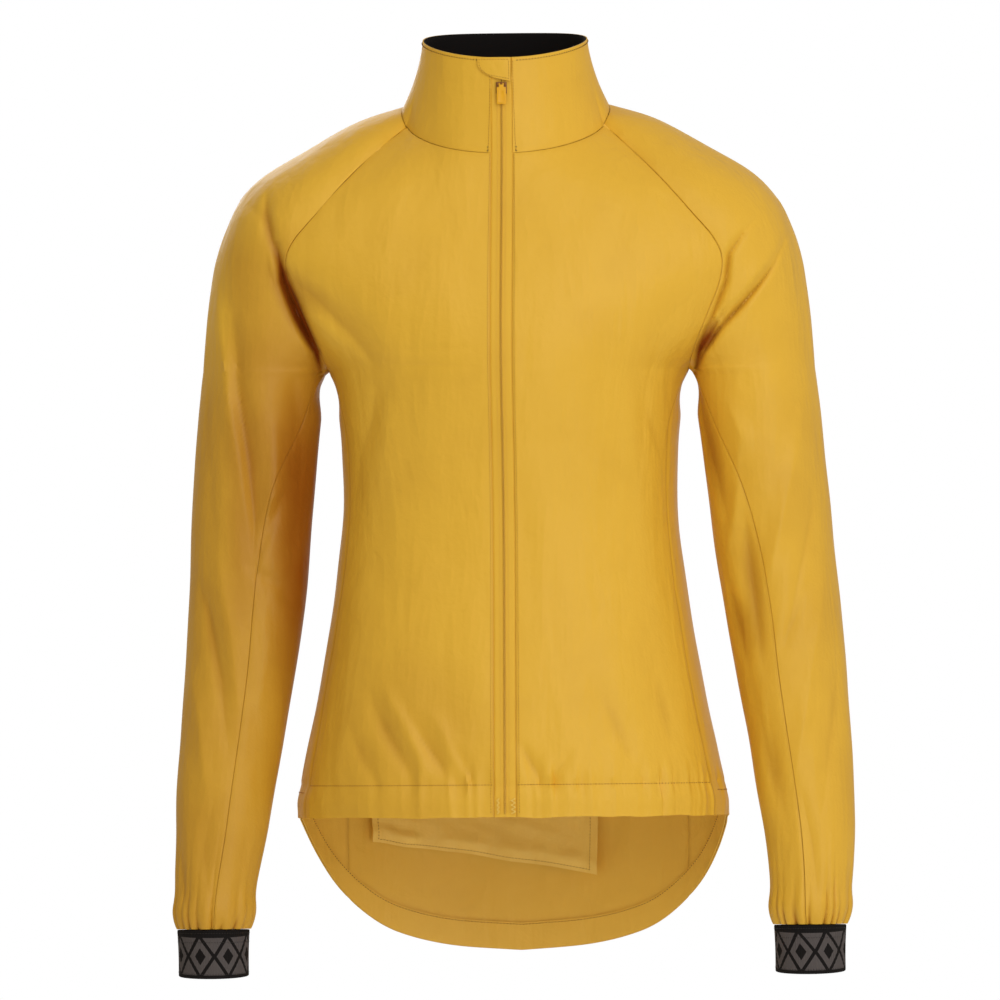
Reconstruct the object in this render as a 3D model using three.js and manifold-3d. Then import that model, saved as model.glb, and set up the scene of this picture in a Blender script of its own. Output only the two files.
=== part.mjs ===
// Windbreaker jacket in its worn form: thin cloth walls, open at the neck, hem and cuffs.
// Millimetres, +Z up, the front faces -Y, and the origin is at the middle of the neck.
import * as THREE from 'three';
import { mergeVertices } from 'three/addons/utils/BufferGeometryUtils.js';
import Module from 'manifold-3d';

const wasm = await Module();
wasm.setup();

// Driving sizes
const CLOTH = 1.2;            // wall of the shell cloth
const LINING = 1.0;           // wall of lining, facing and pocket cloth
const ELASTIC = 1.8;          // wall of the cuffs
const SEAM = 0.34;            // space between two pieces at a seam
const ZIP_HALF = 8.8;         // centre of the zip to the edge of a front
const ZIP_SPLIT = 0.22;       // half of the space between the two zip tapes
const ZIP_SINK = 0.5;         // zip tapes lie lower than the fronts
const HEM_FRONT = -557;       // height of the front hem
const UNDERARM = -200;        // height where body and sleeves part
const SIDE_Y = 5;             // line down the side of the body
const CUFF_TOP = -645;
const CUFF_END = -683;
const NECK_MIDDLE_Y = -10;
const NECK_HALF_WIDTH = 81;
const NECK_HALF_DEPTH = 68;
const COLLAR_TOP_HALF_WIDTH = 66;
const COLLAR_TOP_HALF_DEPTH = 60;
const COLLAR_TOP_MIDDLE_Y = -15;
const COLLAR_TOP_Z = 58;
const COLLAR_TOP_DIP = 10;    // the top edge is this much lower in front and higher behind
const FACING_WIDTH = 22;

// Numbers of rows and columns of the walls
const BODY_ROWS = 14;
const YOKE_ROWS = 10;
const FRONT_COLUMNS = 9;
const SIDE_COLUMNS = 5;
const BACK_COLUMNS = 14;
const SLEEVE_COLUMNS = 14;
const UNDER_COLUMNS = 6;
const COLLAR_ROWS = 3;

// Body sections below the arms: half width, front and back depth, squareness of the ring
const BODY = [
  { z: -665, half: 171.0, front: -120, back: 118, square: 2.3 },
  { z: -610, half: 172.5, front: -120, back: 121, square: 2.3 },
  { z: -557, half: 172.5, front: -119, back: 121, square: 2.3 },
  { z: -520, half: 167.6, front: -117, back: 119, square: 2.3 },
  { z: -469, half: 157.0, front: -112, back: 113, square: 2.3 },
  { z: -418, half: 147.6, front: -106, back: 105, square: 2.3 },
  { z: -366, half: 139.2, front: -101, back: 98, square: 2.3 },
  { z: -315, half: 133.8, front: -100, back: 95, square: 2.3 },
  { z: -264, half: 134.6, front: -107, back: 101, square: 2.25 },
  { z: -238, half: 136.8, front: -113, back: 106, square: 2.15 },
  { z: -213, half: 140.4, front: -118, back: 110, square: 2.05 },
  { z: -200, half: 145.3, front: -120, back: 112, square: 2.0 },
];

// Height of the hem by the angle from the centre back, out to the side
const TAIL = [
  { turn: 0, z: -662 },
  { turn: 17, z: -657 },
  { turn: 31.5, z: -647 },
  { turn: 41, z: -635 },
  { turn: 55.5, z: -610 },
  { turn: 68, z: -584 },
  { turn: 76, z: -569 },
  { turn: 84, z: -559 },
  { turn: 92, z: -557 },
];

// Side panel: angles from the side line to its front and back seams
const SIDE_PANEL = [
  { z: -665, ahead: 20, behind: 40 },
  { z: -304, ahead: 20, behind: 38 },
  { z: -245, ahead: 19, behind: 30 },
  { z: -218, ahead: 12, behind: 15 },
  { z: -200, ahead: 7, behind: 7 },
];

// Yoke rows from the underarm (0) to the neck (1): the front raglan seam, the centre front,
// the back raglan seam, the centre back, the top of the shoulder, and half the sleeve depth
const YOKE = [
  { t: 0.0, fx: 144.2, fy: -10.2, fz: -200, cfy: -120, cfz: -200, fa: 83,
    bx: 144.2, by: 18.0, bz: -200, cby: 112, cbz: -200, ba: 83, ox: 245, oy: 5, oz: -200, w: 54 },
  { t: 0.1, fx: 147, fy: -33, fz: -192, cfy: -120, cfz: -182, fa: 76,
    bx: 147, by: 42, bz: -193, cby: 113, cbz: -178, ba: 77, ox: 243, oy: 6, oz: -178, w: 56 },
  { t: 0.2, fx: 153, fy: -50, fz: -178, cfy: -118, cfz: -164, fa: 69,
    bx: 153, by: 60, bz: -180, cby: 114, cbz: -156, ba: 71, ox: 241, oy: 7, oz: -155, w: 60 },
  { t: 0.3, fx: 163, fy: -60, fz: -155, cfy: -114.5, cfz: -146, fa: 64,
    bx: 162, by: 70, bz: -158, cby: 113, cbz: -135, ba: 66, ox: 238, oy: 8, oz: -133, w: 65 },
  { t: 0.4, fx: 172, fy: -65, fz: -133, cfy: -109.5, cfz: -129, fa: 60,
    bx: 169, by: 76, bz: -135, cby: 111, cbz: -114, ba: 62, ox: 234, oy: 9, oz: -111, w: 70 },
  { t: 0.5, fx: 175, fy: -67, fz: -113, cfy: -104, cfz: -112, fa: 57,
    bx: 170, by: 79, bz: -112, cby: 107, cbz: -92, ba: 60, ox: 227, oy: 10, oz: -88, w: 73 },
  { t: 0.6, fx: 168, fy: -68, fz: -96, cfy: -98, cfz: -95, fa: 56,
    bx: 160, by: 82, bz: -90, cby: 101, cbz: -70, ba: 58, ox: 216, oy: 10, oz: -65, w: 75 },
  { t: 0.7, fx: 151, fy: -67, fz: -76, cfy: -92, cfz: -78, fa: 56,
    bx: 141, by: 82, bz: -66, cby: 93, cbz: -48, ba: 57, ox: 197, oy: 10, oz: -44.5, w: 74 },
  { t: 0.8, fx: 130, fy: -60, fz: -52, cfy: -87, cfz: -61, fa: 59,
    bx: 118, by: 77, bz: -38, cby: 83, cbz: -26, ba: 56, ox: 163, oy: 9, oz: -24, w: 69 },
  { t: 0.9, fx: 105, fy: -44, fz: -27, cfy: -82.5, cfz: -44, fa: 67,
    bx: 91, by: 61, bz: -9, cby: 71, cbz: -5, ba: 54, ox: 121, oy: 8, oz: -1, w: 53 },
  { t: 1.0, fx: 79, fy: -24, fz: -5, cfy: -78, cfz: -27, fa: 77,
    bx: 62, by: 35, bz: 13, cby: 58, cbz: 14, ba: 50, ox: 82, oy: 6, oz: 11, w: 29.5 },
];

// Sleeve sections below the underarm, with the angles of the front and back sleeve seams
const SLEEVE = [
  { z: -645, inner: 209.5, outer: 268.0, middle: -35, depth: 30.5, ahead: 93, behind: 118 },
  { z: -622, inner: 207.0, outer: 270.0, middle: -33, depth: 32.5, ahead: 95, behind: 118 },
  { z: -597, inner: 203.6, outer: 271.6, middle: -30, depth: 34.5, ahead: 97, behind: 118 },
  { z: -545, inner: 194.4, outer: 271.2, middle: -23, depth: 38.0, ahead: 99, behind: 118 },
  { z: -494, inner: 186.0, outer: 268.4, middle: -15, depth: 42.0, ahead: 101, behind: 118 },
  { z: -443, inner: 176.4, outer: 265.2, middle: -8, depth: 45.0, ahead: 101, behind: 118 },
  { z: -392, inner: 168.4, outer: 261.6, middle: -3, depth: 48.0, ahead: 100, behind: 118 },
  { z: -341, inner: 162.4, outer: 257.6, middle: 0, depth: 50.0, ahead: 103, behind: 120 },
  { z: -290, inner: 156.8, outer: 254.0, middle: 2, depth: 52.0, ahead: 113, behind: 129 },
  { z: -238, inner: 150.4, outer: 250.0, middle: 4, depth: 53.5, ahead: 139, behind: 146 },
  { z: -213, inner: 147.6, outer: 247.0, middle: 5, depth: 54.0, ahead: 153, behind: 156 },
  { z: -200, inner: 144.2, outer: 245.0, middle: 5, depth: 54.0, ahead: 165, behind: 165 },
];
const SLEEVE_ROW_HEIGHTS = [
  CUFF_TOP, -632, -617, -597, -568, -538, -508, -478, -448, -418, -388, -358, -328, -298, -268, -240, -216,
];
const GATHER_ROWS = 2;        // lowest sleeve rows, with twice the columns
const GATHER_DEPTH = [1.7, 1.1, 0.3];

// Both sleeves hang a little towards +X between these heights
const SWAY = 3.5;
const SWAY_TOP = -260;
const SWAY_FULL = -430;
const SWAY_LOW = -560;

// Largest folds on the front: two or three points each in the front view, depth inward
// (a ridge has a negative depth) and half width
const FOLDS = [
  { name: 'left armhole', x: [-196, -183, -160], z: [-80, -120, -178], depth: 11, reach: 13 },
  { name: 'right armhole', x: [206, 186, 158], z: [-92, -140, -185], depth: 10, reach: 13 },
  { name: 'left bust', x: [-106, -110, -122], z: [-212, -255, -318], depth: 3, reach: 17 },
  { name: 'right bust', x: [108, 118, 128], z: [-212, -270, -360], depth: 3, reach: 17 },
  { name: 'left bust slope', x: [-158, -130, -100], z: [-125, -160, -200], depth: 3, reach: 20 },
  { name: 'left sleeve ridge', x: [-234, -228, -210], z: [-120, -220, -330], depth: -3, reach: 12 },
  { name: 'left sleeve trough', x: [-216, -208, -204], z: [-215, -275, -345], depth: 4, reach: 12 },
  { name: 'left elbow', x: [-176, -182, -190], z: [-230, -310, -400], depth: 5, reach: 14 },
  { name: 'right elbow', x: [168, 180, 196], z: [-230, -300, -400], depth: 5, reach: 14 },
  { name: 'right sleeve drape', x: [238, 224, 206], z: [-240, -330, -440], depth: 3, reach: 14 },
  { name: 'left hem', x: [-110, -78, -60], z: [-455, -500, -545], depth: 3, reach: 14 },
  { name: 'right hem', x: [24, 36, 46], z: [-480, -510, -545], depth: 2.5, reach: 12 },
];

const degrees = THREE.MathUtils.degToRad;
const mix = THREE.MathUtils.lerp;
const point = (x, y, z) => new THREE.Vector3(x, y, z);

// A column of a table, read smoothly between its rows
function read(table, key, column, at) {
  const last = table.length - 1;
  const value = Math.min(Math.max(at, table[0][key]), table[last][key]);
  let low = 0;
  while (low < last - 1 && table[low + 1][key] < value) {
    low += 1;
  }
  const slope = (i) => {
    const before = table[Math.max(i - 1, 0)];
    const after = table[Math.min(i + 1, last)];
    return (after[column] - before[column]) / (after[key] - before[key]);
  };
  const span = table[low + 1][key] - table[low][key];
  const f = (value - table[low][key]) / span;
  const rise = f * f * (3 - 2 * f);
  return mix(table[low][column], table[low + 1][column], rise)
    + span * (f * (1 - f) * (1 - f) * slope(low) - f * f * (1 - f) * slope(low + 1));
}

const smooth = (value, from, to) => THREE.MathUtils.smoothstep(value, from, to);
const counted = (count) => Array.from({ length: count + 1 }, (_, i) => i / count);

// Body ring below the arms: turn is 0 at the centre front and grows towards +X
function bodyPoint(turn, z) {
  const power = 2 / read(BODY, 'z', 'square', z);
  const sine = Math.sin(degrees(turn));
  const cosine = Math.cos(degrees(turn));
  const depth = read(BODY, 'z', cosine > 0 ? 'front' : 'back', z) - SIDE_Y;
  const x = read(BODY, 'z', 'half', z) * Math.sign(sine) * Math.abs(sine) ** power;
  return point(x, SIDE_Y + depth * Math.abs(cosine) ** power, z);
}

const hemHeight = (turn) => read(TAIL, 'turn', 'z', 180 - Math.abs(turn));
const frontSeamTurn = (z) => 90 - read(SIDE_PANEL, 'z', 'ahead', z);
const backSeamTurn = (z) => 90 + read(SIDE_PANEL, 'z', 'behind', z);
const BACK_SEAM_HEM = hemHeight(backSeamTurn(-620));

// Angle of the body ring at which it is this far from the centre
function turnAt(x, z) {
  const ratio = x / read(BODY, 'z', 'half', z);
  return THREE.MathUtils.radToDeg(Math.asin(ratio ** (read(BODY, 'z', 'square', z) / 2)));
}

// Arc of a yoke row across the front or the back; angle runs from 0 at the centre to its full angle
function yokeArc(t, angle, side) {
  const names = side === 'front'
    ? { x: 'fx', y: 'fy', z: 'fz', cy: 'cfy', cz: 'cfz', full: 'fa' }
    : { x: 'bx', y: 'by', z: 'bz', cy: 'cby', cz: 'cbz', full: 'ba' };
  const value = (name) => read(YOKE, 't', names[name], t);
  const full = degrees(value('full'));
  const a = degrees(angle);
  const share = (Math.cos(a) - Math.cos(full)) / (1 - Math.cos(full));
  const x = value('x') * Math.sin(a) / Math.sin(full);
  return point(x, mix(value('y'), value('cy'), share), mix(value('z'), value('cz'), share));
}

function sleeveSway(z) {
  return SWAY * smooth(-z, -SWAY_TOP, -SWAY_FULL) * (1 - smooth(-z, -SWAY_LOW, -CUFF_TOP));
}

// Sleeve ring below the underarm: angle 0 is outside, -90 in front and 180 inside
function sleeveRing(angle, z) {
  const value = (name) => read(SLEEVE, 'z', name, z);
  const a = degrees(angle);
  const centre = (value('outer') + value('inner')) / 2;
  const half = (value('outer') - value('inner')) / 2;
  return point(centre + half * Math.cos(a), value('middle') + value('depth') * Math.sin(a), z);
}

// Sleeve row over the shoulder: share runs from -1 at the front seam to 1 at the back seam
function shoulderArc(t, share) {
  const value = (name) => read(YOKE, 't', name, t);
  const front = point(value('fx'), value('fy'), value('fz'));
  const back = point(value('bx'), value('by'), value('bz'));
  const top = point(value('ox'), value('oy'), value('oz'));
  const middle = front.clone().add(back).multiplyScalar(0.5);
  const gap = (back.y - front.y) / 2;
  const depth = Math.max(value('w'), gap);
  const full = Math.PI - Math.asin(gap / depth);
  const centre = middle.clone().addScaledVector(top, -Math.cos(full)).divideScalar(1 - Math.cos(full));
  const angle = full * share;
  const result = centre.clone().addScaledVector(top.clone().sub(centre), Math.cos(angle));
  result.y += depth * Math.sin(angle);
  result.x += (back.x - front.x) / 2 * share;
  result.z += (back.z - front.z) / 2 * share;
  return result;
}

// Rows of outer points, from the bottom up, each running anticlockwise seen from above
function frontRows() {
  const rows = counted(BODY_ROWS).map((v) => {
    const z = mix(HEM_FRONT, UNDERARM, v);
    return counted(FRONT_COLUMNS).map((c) => bodyPoint(mix(turnAt(ZIP_HALF, z), frontSeamTurn(z), c), z));
  });
  counted(YOKE_ROWS).slice(1).forEach((t) => {
    const full = read(YOKE, 't', 'fa', t);
    const start = THREE.MathUtils.radToDeg(Math.asin(ZIP_HALF / read(YOKE, 't', 'fx', t) * Math.sin(degrees(full))));
    rows.push(counted(FRONT_COLUMNS).map((c) => yokeArc(t, mix(start, full, c), 'front')));
  });
  return rows;
}

function sideRows() {
  return counted(BODY_ROWS).map((v) => {
    const from = frontSeamTurn(mix(HEM_FRONT, UNDERARM, v));
    const to = backSeamTurn(mix(BACK_SEAM_HEM, UNDERARM, v));
    const hemFrom = frontSeamTurn(HEM_FRONT);
    const hemTo = backSeamTurn(BACK_SEAM_HEM);
    const row = counted(SIDE_COLUMNS).map((c) => {
      const hem = c === 0 ? HEM_FRONT : hemHeight(mix(hemFrom, hemTo, c));
      return bodyPoint(mix(from, to, c), mix(hem, UNDERARM, v));
    });
    return flatten(row);
  });
}

function backRows() {
  const half = BACK_COLUMNS / 2;
  const rows = counted(BODY_ROWS).map((v) => {
    const from = backSeamTurn(mix(BACK_SEAM_HEM, UNDERARM, v));
    const hemFrom = backSeamTurn(BACK_SEAM_HEM);
    const right = counted(half).map((c) => bodyPoint(
      mix(from, 180, c),
      mix(hemHeight(mix(hemFrom, 180, c)), UNDERARM, v),
    ));
    return right.concat(mirrored([right])[0].slice(1));
  });
  counted(YOKE_ROWS).slice(1).forEach((t) => {
    const full = read(YOKE, 't', 'ba', t);
    const right = counted(half).map((c) => yokeArc(t, full * (1 - c), 'back'));
    rows.push(right.concat(mirrored([right])[0].slice(1)));
  });
  return rows;
}

function sleeveRows() {
  const rows = SLEEVE_ROW_HEIGHTS.map((z, level) => {
    const columns = SLEEVE_COLUMNS * (level < GATHER_ROWS ? 2 : 1);
    const from = -read(SLEEVE, 'z', 'ahead', z);
    const to = read(SLEEVE, 'z', 'behind', z);
    return gathered(counted(columns).map((c) => sleeveRing(mix(from, to, c), z)), level);
  });
  counted(YOKE_ROWS).forEach((t) => {
    rows.push(counted(SLEEVE_COLUMNS).map((c) => shoulderArc(t, 2 * c - 1)));
  });
  return rows;
}

function underSleeveRows() {
  const rows = SLEEVE_ROW_HEIGHTS.map((z, level) => {
    const columns = UNDER_COLUMNS * (level < GATHER_ROWS ? 2 : 1);
    const from = read(SLEEVE, 'z', 'behind', z);
    const to = 360 - read(SLEEVE, 'z', 'ahead', z);
    return flatten(gathered(counted(columns).map((c) => sleeveRing(mix(from, to, c), z)), level));
  });
  const back = shoulderArc(0, 1);
  const front = shoulderArc(0, -1);
  rows.push(counted(UNDER_COLUMNS).map((c) => back.clone().lerp(front, c)));
  return rows;
}

// Under the arm a row turns from its arc into the straight line of the armhole's lowest point
function flatten(row) {
  const last = row.length - 1;
  const amount = smooth(row[0].z, UNDERARM - 40, UNDERARM);
  return row.map((p, i) => p.clone().lerp(row[0].clone().lerp(row[last], i / last), amount));
}

// Gathers of the sleeve end: every second column is pushed out, by uneven amounts
function gathered(row, level) {
  if (level > GATHER_ROWS) {
    return row;
  }
  const centre = new THREE.Vector3();
  row.forEach((p) => centre.addScaledVector(p, 1 / row.length));
  return row.map((p, i) => {
    const end = i === 0 || i === row.length - 1;
    const uneven = 0.65 + 0.35 * Math.sin(i * 2.3 + 0.7);
    const push = end ? 0 : (i % 2 ? 1 : -0.35) * GATHER_DEPTH[level] * uneven;
    const out = p.clone().sub(centre).setZ(0).normalize();
    return p.clone().addScaledVector(out, push);
  });
}

function mirrored(rows) {
  return rows.map((row) => row.map((p) => point(-p.x, p.y, p.z)).reverse());
}

// Distance from a point of the front view to a fold's line, and how far along it that is
function nearFold(fold, x, z) {
  let best = { distance: Infinity, along: 0 };
  for (let i = 0; i < fold.x.length - 1; i += 1) {
    const dx = fold.x[i + 1] - fold.x[i];
    const dz = fold.z[i + 1] - fold.z[i];
    const f = THREE.MathUtils.clamp(((x - fold.x[i]) * dx + (z - fold.z[i]) * dz) / (dx * dx + dz * dz), 0, 1);
    const distance = Math.hypot(x - fold.x[i] - f * dx, z - fold.z[i] - f * dz);
    if (distance < best.distance) {
      best = { distance, along: (i + f) / (fold.x.length - 1) };
    }
  }
  return best;
}

// Push of the folds at a point, towards +Y, and only on the front half of the body and sleeves
function foldPush(p, middle) {
  const front = smooth(middle - p.y, 4, 26);
  let push = 0;
  FOLDS.forEach((fold) => {
    const near = nearFold(fold, p.x, p.z);
    const across = Math.exp(-((near.distance / fold.reach) ** 2));
    push += fold.depth * across * (0.45 + 0.55 * Math.sin(Math.PI * near.along));
  });
  return push * front;
}

function draped(rows, isSleeve) {
  return rows.map((row) => row.map((p) => {
    const lower = isSleeve && p.z < UNDERARM;
    const middle = lower ? read(SLEEVE, 'z', 'middle', p.z) : SIDE_Y;
    const shift = lower ? sleeveSway(p.z) : 0;
    return point(p.x + shift, p.y + foldPush(p, middle), p.z);
  }));
}

// Triangles between two rows; the lower row may have twice the columns of the upper one
function rowTriangles(lower, upper) {
  const triangles = [];
  const double = lower.length > upper.length;
  for (let i = 0; i < upper.length - 1; i += 1) {
    if (double) {
      triangles.push([lower[2 * i], lower[2 * i + 1], upper[i]]);
      triangles.push([lower[2 * i + 1], upper[i + 1], upper[i]]);
      triangles.push([lower[2 * i + 1], lower[2 * i + 2], upper[i + 1]]);
    } else {
      triangles.push([lower[i], lower[i + 1], upper[i + 1]]);
      triangles.push([lower[i], upper[i + 1], upper[i]]);
    }
  }
  return triangles;
}

const keyOf = (p) => `${Math.round(p.x * 20)} ${Math.round(p.y * 20)} ${Math.round(p.z * 20)}`;

// Outward directions at all points, shared by the pieces that meet there
function directions(allRows) {
  const sums = new Map();
  allRows.forEach((rows) => {
    for (let r = 0; r < rows.length - 1; r += 1) {
      rowTriangles(rows[r], rows[r + 1]).forEach(([a, b, c]) => {
        const cross = b.clone().sub(a).cross(c.clone().sub(a));
        [a, b, c].forEach((p) => {
          const key = keyOf(p);
          sums.set(key, (sums.get(key) ?? new THREE.Vector3()).add(cross));
        });
      });
    }
  });
  return (p) => sums.get(keyOf(p)).clone().normalize();
}

// Draws the edge points of a piece in by half a seam's space, on the sides that are named
function trimmed(rows, sides) {
  const move = (p, towards) => p.clone().addScaledVector(towards.clone().sub(p).normalize(), SEAM / 2);
  const last = rows.length - 1;
  return rows.map((row, r) => row.map((p, c) => {
    const end = row.length - 1;
    let q = p;
    if (sides.includes('left') && c === 0) {
      q = move(q, row[1]);
    }
    if (sides.includes('right') && c === end) {
      q = move(q, row[end - 1]);
    }
    if (sides.includes('bottom') && r === 0) {
      q = move(q, rows[1][Math.round(c * (rows[1].length - 1) / end)]);
    }
    if (sides.includes('top') && r === last) {
      q = move(q, rows[last - 1][c]);
    }
    return q;
  }));
}

// A wall between two sets of rows, closed along its rims; a closed wall's rows join up
function wallGeometry(outer, inner, closed) {
  const positions = [];
  const add = (a, b, c) => positions.push(...a.toArray(), ...b.toArray(), ...c.toArray());
  const wrap = (row) => (closed ? row.concat([row[0]]) : row);
  const face = outer.map(wrap);
  const reverse = inner.map(wrap);
  for (let r = 0; r < face.length - 1; r += 1) {
    rowTriangles(face[r], face[r + 1]).forEach(([a, b, c]) => add(a, b, c));
    rowTriangles(reverse[r], reverse[r + 1]).forEach(([a, b, c]) => add(a, c, b));
  }
  const rim = (a, b) => {
    for (let i = 0; i < a.length - 1; i += 1) {
      add(a[i], b[i], b[i + 1]);
      add(a[i], b[i + 1], a[i + 1]);
    }
  };
  const top = face.length - 1;
  rim(face[0], reverse[0]);
  rim(reverse[top], face[top]);
  if (!closed) {
    rim(reverse.map((row) => row[0]), face.map((row) => row[0]));
    rim(face.map((row) => row[row.length - 1]), reverse.map((row) => row[row.length - 1]));
  }
  const geometry = new THREE.BufferGeometry();
  geometry.setAttribute('position', new THREE.Float32BufferAttribute(positions, 3));
  geometry.computeVertexNormals();
  return geometry;
}

// Materials
const cloth = new THREE.MeshStandardMaterial({ color: 0xd9a83a, roughness: 0.45, metalness: 0 });
const lining = new THREE.MeshStandardMaterial({ color: 0x161416, roughness: 0.7, metalness: 0 });
const elastic = new THREE.MeshStandardMaterial({ color: 0x181618, roughness: 0.8, metalness: 0 });
const tape = new THREE.MeshStandardMaterial({ color: 0xd09a30, roughness: 0.55, metalness: 0 });
const rubber = new THREE.MeshStandardMaterial({ color: 0xd2960a, roughness: 0.4, metalness: 0 });

const jacket = new THREE.Group();

function addMesh(name, geometry, material) {
  const mesh = new THREE.Mesh(geometry, material);
  mesh.name = name;
  jacket.add(mesh);
  return mesh;
}

// Adds a cloth piece whose outer face is sunk below its rows and whose wall goes inward
function addWall(name, rows, direction, options) {
  const { sunk = 0, thick = CLOTH, seams = [], closed = false, material = cloth } = options;
  const normals = rows.map((row) => row.map((p) => direction(p)));
  const placed = trimmed(rows, seams);
  const layer = (depth) => placed.map((row, r) => row.map(
    (p, c) => p.clone().addScaledVector(normals[r][c], -depth),
  ));
  return addMesh(name, wallGeometry(layer(sunk), layer(sunk + thick), closed), material);
}

// Shell pieces
const shell = {
  front_right: draped(frontRows(), false),
  front_left: draped(mirrored(frontRows()), false),
  side_right: draped(sideRows(), false),
  side_left: draped(mirrored(sideRows()), false),
  back: draped(backRows(), false),
  sleeve_outer_right: draped(sleeveRows(), true),
  sleeve_outer_left: draped(mirrored(sleeveRows()), true),
  sleeve_under_right: draped(underSleeveRows(), true),
  sleeve_under_left: draped(mirrored(underSleeveRows()), true),
};
const topRow = (name) => shell[name][shell[name].length - 1];

// Collar: its lowest row is the neck edge of the shell, all round from the zip to the zip
const neckEdge = [
  ...topRow('front_right'),
  ...topRow('sleeve_outer_right').slice(1),
  ...topRow('back').slice(1),
  ...topRow('sleeve_outer_left').slice(1),
  ...topRow('front_left').slice(1),
];

function collarPoint(base, v) {
  const turn = Math.atan2(base.x / NECK_HALF_WIDTH, (NECK_MIDDLE_Y - base.y) / NECK_HALF_DEPTH);
  const edge = Math.abs(base.x) < ZIP_HALF + 1 && base.y < 0;
  const top = point(
    edge ? base.x : COLLAR_TOP_HALF_WIDTH * Math.sin(turn),
    COLLAR_TOP_MIDDLE_Y - COLLAR_TOP_HALF_DEPTH * Math.cos(turn),
    COLLAR_TOP_Z - COLLAR_TOP_DIP * Math.cos(turn),
  );
  const lean = 1 - (1 - v) ** 1.5;
  return point(mix(base.x, top.x, lean), mix(base.y, top.y, lean), mix(base.z, top.z, v));
}

shell.collar = counted(COLLAR_ROWS).map((v) => neckEdge.map((base) => collarPoint(base, v)));

const outward = directions(Object.values(shell));
const SEAMS = {
  front_right: ['left', 'right', 'top'],
  front_left: ['left', 'right', 'top'],
  side_right: ['left', 'right', 'top'],
  side_left: ['left', 'right', 'top'],
  back: ['left', 'right', 'top'],
  sleeve_outer_right: ['left', 'right', 'top', 'bottom'],
  sleeve_outer_left: ['left', 'right', 'top', 'bottom'],
  sleeve_under_right: ['left', 'right', 'top', 'bottom'],
  sleeve_under_left: ['left', 'right', 'top', 'bottom'],
  collar: ['bottom'],
};
Object.entries(shell).forEach(([name, rows]) => {
  addWall(name, rows, outward, { seams: SEAMS[name] });
});
addWall('collar_lining', shell.collar, outward, {
  sunk: CLOTH + SEAM, thick: LINING, seams: ['bottom'], material: lining,
});

// Cuffs: plain elastic rings below the gathers
function cuffRows() {
  const columns = counted(24).slice(0, -1);
  return [0, 0.5, 1].map((v) => {
    const z = mix(CUFF_END, CUFF_TOP - SEAM, v);
    return columns.map((c) => {
      const p = sleeveRing(360 * c, CUFF_TOP);
      const centre = sleeveRing(0, CUFF_TOP).lerp(sleeveRing(180, CUFF_TOP), 0.5);
      return centre.lerp(p, mix(0.955, 0.985, v)).setZ(z);
    });
  });
}
[['cuff_right', cuffRows()], ['cuff_left', mirrored(cuffRows())]].forEach(([name, rows]) => {
  const direction = directions([rows.map((row) => row.concat([row[0]]))]);
  addWall(name, rows, direction, { thick: ELASTIC, closed: true, material: elastic });
});

// Inner pieces are made from the body's own points, moved in
function innerDirection(rows) {
  return directions([rows]);
}

// Turned facing along the inside of the tail, on the lowest strip of the side panels and the back
function facingRows() {
  const strip = (level) => [
    ...shell.side_right[level],
    ...shell.back[level].slice(1),
    ...shell.side_left[level].slice(1),
  ];
  const hem = strip(0).slice(1, -1);
  const above = strip(1).slice(1, -1);
  return [0.2, FACING_WIDTH / 2, FACING_WIDTH].map((rise) => hem.map(
    (p, i) => p.clone().lerp(above[i], rise / p.distanceTo(above[i])),
  ));
}
const facing = facingRows();
addWall('tail_facing', facing, innerDirection(facing), { sunk: CLOTH + 0.5, thick: LINING });

// Pocket bag on the inside of the back; its lower edge slants
function pocketRows() {
  const from = 180 - 22;
  const to = 180 + 42;
  return counted(5).map((v) => counted(8).map((c) => {
    const turn = mix(from, to, c);
    const low = mix(-599, -574, c);
    return bodyPoint(turn > 180 ? turn - 360 : turn, mix(low, -452, v));
  }));
}
const pocket = pocketRows();
addWall('back_pocket', pocket, innerDirection(pocket), { sunk: CLOTH + 1.4, thick: LINING });

// Zip tapes beside the centre line, from the hem to the top of the collar
function tapeRows(side) {
  const edge = shell.front_right.map((row) => row[0]).concat(shell.collar.slice(1).map((row) => row[0]));
  return edge.map((p) => {
    const near = point(side * ZIP_SPLIT, p.y, p.z);
    const far = point(side * (ZIP_HALF - SEAM), p.y, p.z);
    return side > 0 ? [near, far] : [far, near];
  });
}
[['zip_tape_right', 1], ['zip_tape_left', -1]].forEach(([name, side]) => {
  const rows = tapeRows(side);
  addWall(name, rows, innerDirection(rows), { sunk: ZIP_SINK, material: tape });
});

// Front line of the collar at a height
function collarFrontY(z) {
  const base = point(0, YOKE[10].cfy, YOKE[10].cfz);
  const v = (z - base.z) / (COLLAR_TOP_Z - COLLAR_TOP_DIP - base.z);
  return collarPoint(base, v).y;
}

// Garage over the top of the zip, rounded at its lower -X corner
const GARAGE = { left: -19, right: 7.2, low: 30.2, high: 47.4, cornerWidth: 16, cornerHeight: 12, lift: 0.5 };
function garageRows() {
  return counted(6).map((v) => {
    const z = mix(GARAGE.low, GARAGE.high, v);
    const drop = Math.max(0, 1 - (z - GARAGE.low) / GARAGE.cornerHeight);
    const left = GARAGE.left + GARAGE.cornerWidth * (1 - Math.sqrt(1 - drop * drop));
    return counted(5).map((c) => {
      const x = mix(left, GARAGE.right, c);
      const bend = 0.0062 * x * x;
      return point(x, collarFrontY(z) - GARAGE.lift - CLOTH + bend, z);
    });
  });
}
const garage = garageRows();
addWall('zip_garage', garage, innerDirection(garage), { thick: CLOTH });

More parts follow.
